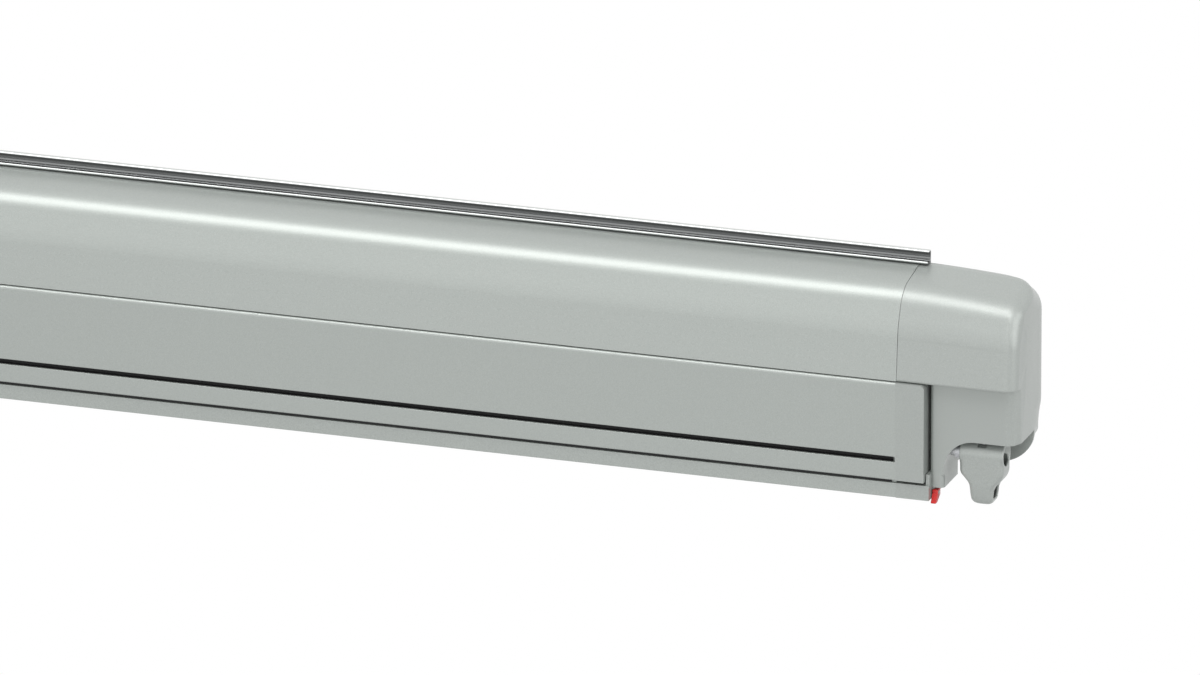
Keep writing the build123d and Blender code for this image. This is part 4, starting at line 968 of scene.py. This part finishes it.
def wound_cloth(name, columns=14):
    total = int(turns * steps_per_turn)
    shape = bmesh.new()
    rows = []
    for k in range(total + 1):
        share = k / total
        angle = -math.pi / 2 + 2 * math.pi * turns * (share - 1)
        radius = inner_turn + (outer_turn - inner_turn) * share
        row = []
        for c in range(columns + 1):
            x = cloth_half * (2 * c / columns - 1)
            slack = 0.00008 * math.sin(9.0 * x + 1.7 * angle) * share
            r = radius - half_thickness + slack
            y, z = roll_centre.x + r * math.cos(angle), roll_centre.y + r * math.sin(angle)
            row.append(shape.verts.new((x, y, z)))
        rows.append(row)
    for low, high in zip(rows, rows[1:]):
        for c in range(columns):
            shape.faces.new((low[c], low[c + 1], high[c + 1], high[c]))
    length = sum((rows[k + 1][0].co - rows[k][0].co).length for k in range(total))
    return finish_mesh(name, shape, sharp=80), length


wound, wound_length = wound_cloth("wound_cloth")
dress(wound, "roller", awning_cloth, "fabric_roll")
print("wound cloth", round(wound_length, 3), "m in", turns, "turns")

# %% [markdown]
# The free run reaches from the bottom of the roll to the sleeve round the hem rod. Its rows are placed along
# the run by the inverse of a smooth step.

# %% The free cloth
hem_low, hem_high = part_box("fabric_hem_rod")
hem_centre = Vector(((hem_low.y + hem_high.y) / 2, (hem_low.z + hem_high.z) / 2))
hem_clearance = 0.0005
sleeve = (hem_high.z - hem_low.z) / 2 + hem_clearance
start_point = Vector((roll_centre.x, roll_centre.y - outer_turn))
end_point = Vector((hem_centre.x + sleeve, hem_centre.y))
sag = 0.0012


def free_cloth(name, row_count=56, columns=72):
    shape = bmesh.new()
    rows = []
    for k in range(row_count + 1):
        share = k / row_count
        along_run = 0.5 - math.sin(math.asin(1 - 2 * share) / 3)
        point = start_point.lerp(end_point, along_run)
        row = []
        for c in range(columns + 1):
            across = 2 * c / columns - 1
            belly = math.sin(math.pi * share)
            ripple = 0.0006 * belly * math.sin(23 * across + 2.2 * share)
            ripple = ripple + 0.0004 * belly * math.sin(61 * across)
            height = point.y - sag * belly + ripple
            row.append(shape.verts.new((cloth_half * across, point.x, height)))
        rows.append(row)
    for low, high in zip(rows, rows[1:]):
        for c in range(columns):
            shape.faces.new((low[c], low[c + 1], high[c + 1], high[c]))
    return finish_mesh(name, shape, sharp=80)


free = free_cloth("free_cloth")
free.data.materials.append(awning_cloth)
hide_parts("fabric_sheet")
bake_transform(free)

# %% [markdown]
# The sleeve is the last hand's breadth of the same cloth, turned round the rod and stitched
# to itself. It rides with the rod, so it is its own piece.

# %% The hem sleeve
def hem_sleeve(name, columns=72, parts=30):
    shape = bmesh.new()
    rows = []
    for k in range(parts + 1):
        angle = 2 * math.pi * k / parts
        row = []
        for c in range(columns + 1):
            across = 2 * c / columns - 1
            r = sleeve + 0.00012 * math.sin(47 * across + 3 * angle)
            y, z = hem_centre.x + r * math.cos(angle), hem_centre.y + r * math.sin(angle)
            row.append(shape.verts.new((cloth_half * across, y, z)))
        rows.append(row)
    for low, high in zip(rows, rows[1:]):
        for c in range(columns):
            shape.faces.new((low[c], low[c + 1], high[c + 1], high[c]))
    return finish_mesh(name, shape, sharp=80)


sleeve_cloth = hem_sleeve("hem_sleeve")
dress(sleeve_cloth, "fabric_hem", awning_cloth)

# %% [markdown]
# The photograph looks at the winch end from the right of the front and from above, through
# a long lens, so the long edges stay parallel. The camera stands fourteen metres off with a
# lens to match. Its target is worked out from one point that is easy to find, the lower
# front corner of the cap's seam.

# %% Camera
turn_right = math.radians(18.5)
look_down = math.radians(19.0)
pixels_per_metre = 1590.0
seam_point = Vector((1.228, -0.086, 0.0))
picture_width = 1200
picture_middle = (600, 337.5)
seam_pixel = (896, 381.5)
sin_t, cos_t = math.sin(turn_right), math.cos(turn_right)
sin_d, cos_d = math.sin(look_down), math.cos(look_down)
right = Vector((cos_t, sin_t, 0))
up = Vector((-sin_t * sin_d, cos_t * sin_d, cos_d))
forward = Vector((-sin_t * cos_d, cos_t * cos_d, -sin_d))
across_m = (picture_middle[0] - seam_pixel[0]) / pixels_per_metre
above_m = (seam_pixel[1] - picture_middle[1]) / pixels_per_metre
target = seam_point + right * across_m + up * above_m
stand_off = 14.0
camera_data = bpy.data.cameras.new("camera")
camera_data.sensor_width = 36.0
camera_data.lens = camera_data.sensor_width * stand_off / (picture_width / pixels_per_metre)
camera_data.clip_start = 0.1
camera_data.clip_end = 400.0
camera = bpy.data.objects.new("camera", camera_data)
bpy.context.scene.collection.objects.link(camera)
camera.location = target - forward * stand_off
camera.rotation_euler = forward.to_track_quat("-Z", "Y").to_euler()
bpy.context.scene.camera = camera
print("camera", [round(v, 3) for v in camera.location], "lens", round(camera_data.lens))

# %% [markdown]
# The floor is far below, where the feet of the legs reach it. It has to be white in the
# picture without pouring light on the awning, so rays from the camera and rays that come
# off a mirror see a plain white, and all other rays see a pale matt surface that takes the
# shadow.

# %% Floor and world
floor_height = -2.60
floor_half = 60


def white_when_seen(tree, lit_shader, output):
    path = tree.nodes.new("ShaderNodeLightPath")
    seen = tree.nodes.new("ShaderNodeMath")
    seen.operation = "MAXIMUM"
    mirrored_ray = tree.nodes.new("ShaderNodeMath")
    mirrored_ray.operation = "MAXIMUM"
    tree.links.new(path.outputs["Is Glossy Ray"], mirrored_ray.inputs[0])
    tree.links.new(path.outputs["Is Transmission Ray"], mirrored_ray.inputs[1])
    tree.links.new(path.outputs["Is Camera Ray"], seen.inputs[0])
    tree.links.new(mirrored_ray.outputs["Value"], seen.inputs[1])
    on_material = output.type == "OUTPUT_MATERIAL"
    glow = tree.nodes.new("ShaderNodeEmission" if on_material else "ShaderNodeBackground")
    glow.inputs["Color"].default_value = (1, 1, 1, 1)
    glow.inputs["Strength"].default_value = 1.0
    mix = tree.nodes.new("ShaderNodeMixShader")
    tree.links.new(seen.outputs["Value"], mix.inputs["Fac"])
    tree.links.new(lit_shader, mix.inputs[1])
    tree.links.new(glow.outputs[0], mix.inputs[2])
    tree.links.new(mix.outputs["Shader"], output.inputs["Surface"])


floor_finish, floor_tree, floor_shader = new_finish("floor_white")
speckle = object_noise(floor_tree, 40)
floor_tint = tones(floor_tree, speckle, (0.80, 0.80, 0.80), (0.84, 0.84, 0.84))
floor_tree.links.new(floor_tint.outputs["Color"], floor_shader.inputs["Base Color"])
floor_shader.inputs["Roughness"].default_value = 0.9
white_when_seen(floor_tree, floor_shader.outputs["BSDF"], floor_tree.nodes["Material Output"])
floor_shape = bmesh.new()
floor_signs = ((-1, -1), (1, -1), (1, 1), (-1, 1))
floor_shape.faces.new([
    floor_shape.verts.new((x * floor_half, y * floor_half, floor_height)) for x, y in floor_signs
])
floor = finish_mesh("floor", floor_shape)
floor.data.materials.append(floor_finish)

world = bpy.data.worlds.new("studio")
bpy.context.scene.world = world
world.use_nodes = True
studio = world.node_tree
ambient = studio.nodes["Background"]
ambient.inputs["Color"].default_value = (0.96, 0.98, 1.0, 1)
ambient.inputs["Strength"].default_value = 0.55
white_when_seen(studio, ambient.outputs["Background"], studio.nodes["World Output"])
print("floor at", floor_height)

# %% [markdown]
# Three soft boxes make the studio. A long one above and in front draws the bright band
# along the shoulder, a wide one in front fills the face evenly, and one from the right lets
# the round end of the cap stand off the white.

# %% Soft boxes
def soft_box(name, place, aim, width, height, watts):
    light = bpy.data.lights.new(name, "AREA")
    light.shape = "RECTANGLE"
    light.size = width
    light.size_y = height
    light.energy = watts
    lamp = bpy.data.objects.new(name, light)
    bpy.context.scene.collection.objects.link(lamp)
    lamp.location = place
    lamp.rotation_euler = (Vector(aim) - Vector(place)).to_track_quat("-Z", "Y").to_euler()
    return lamp


soft_box("top_strip", (0.3, -1.05, 3.0), (0.6, -0.07, 0.05), 6.0, 1.4, 94)
soft_box("front_fill", (1.2, -5.5, 0.9), (0.8, -0.08, 0.0), 8.0, 5.0, 61)
soft_box("end_light", (4.2, -0.6, 0.9), (1.28, -0.05, 0.0), 2.6, 2.6, 30)

# %% [markdown]
# The last cell sets the colour transform to Standard and brings the scene up to date.

# %% Colour transform and update
bpy.context.scene.view_settings.view_transform = "Standard"
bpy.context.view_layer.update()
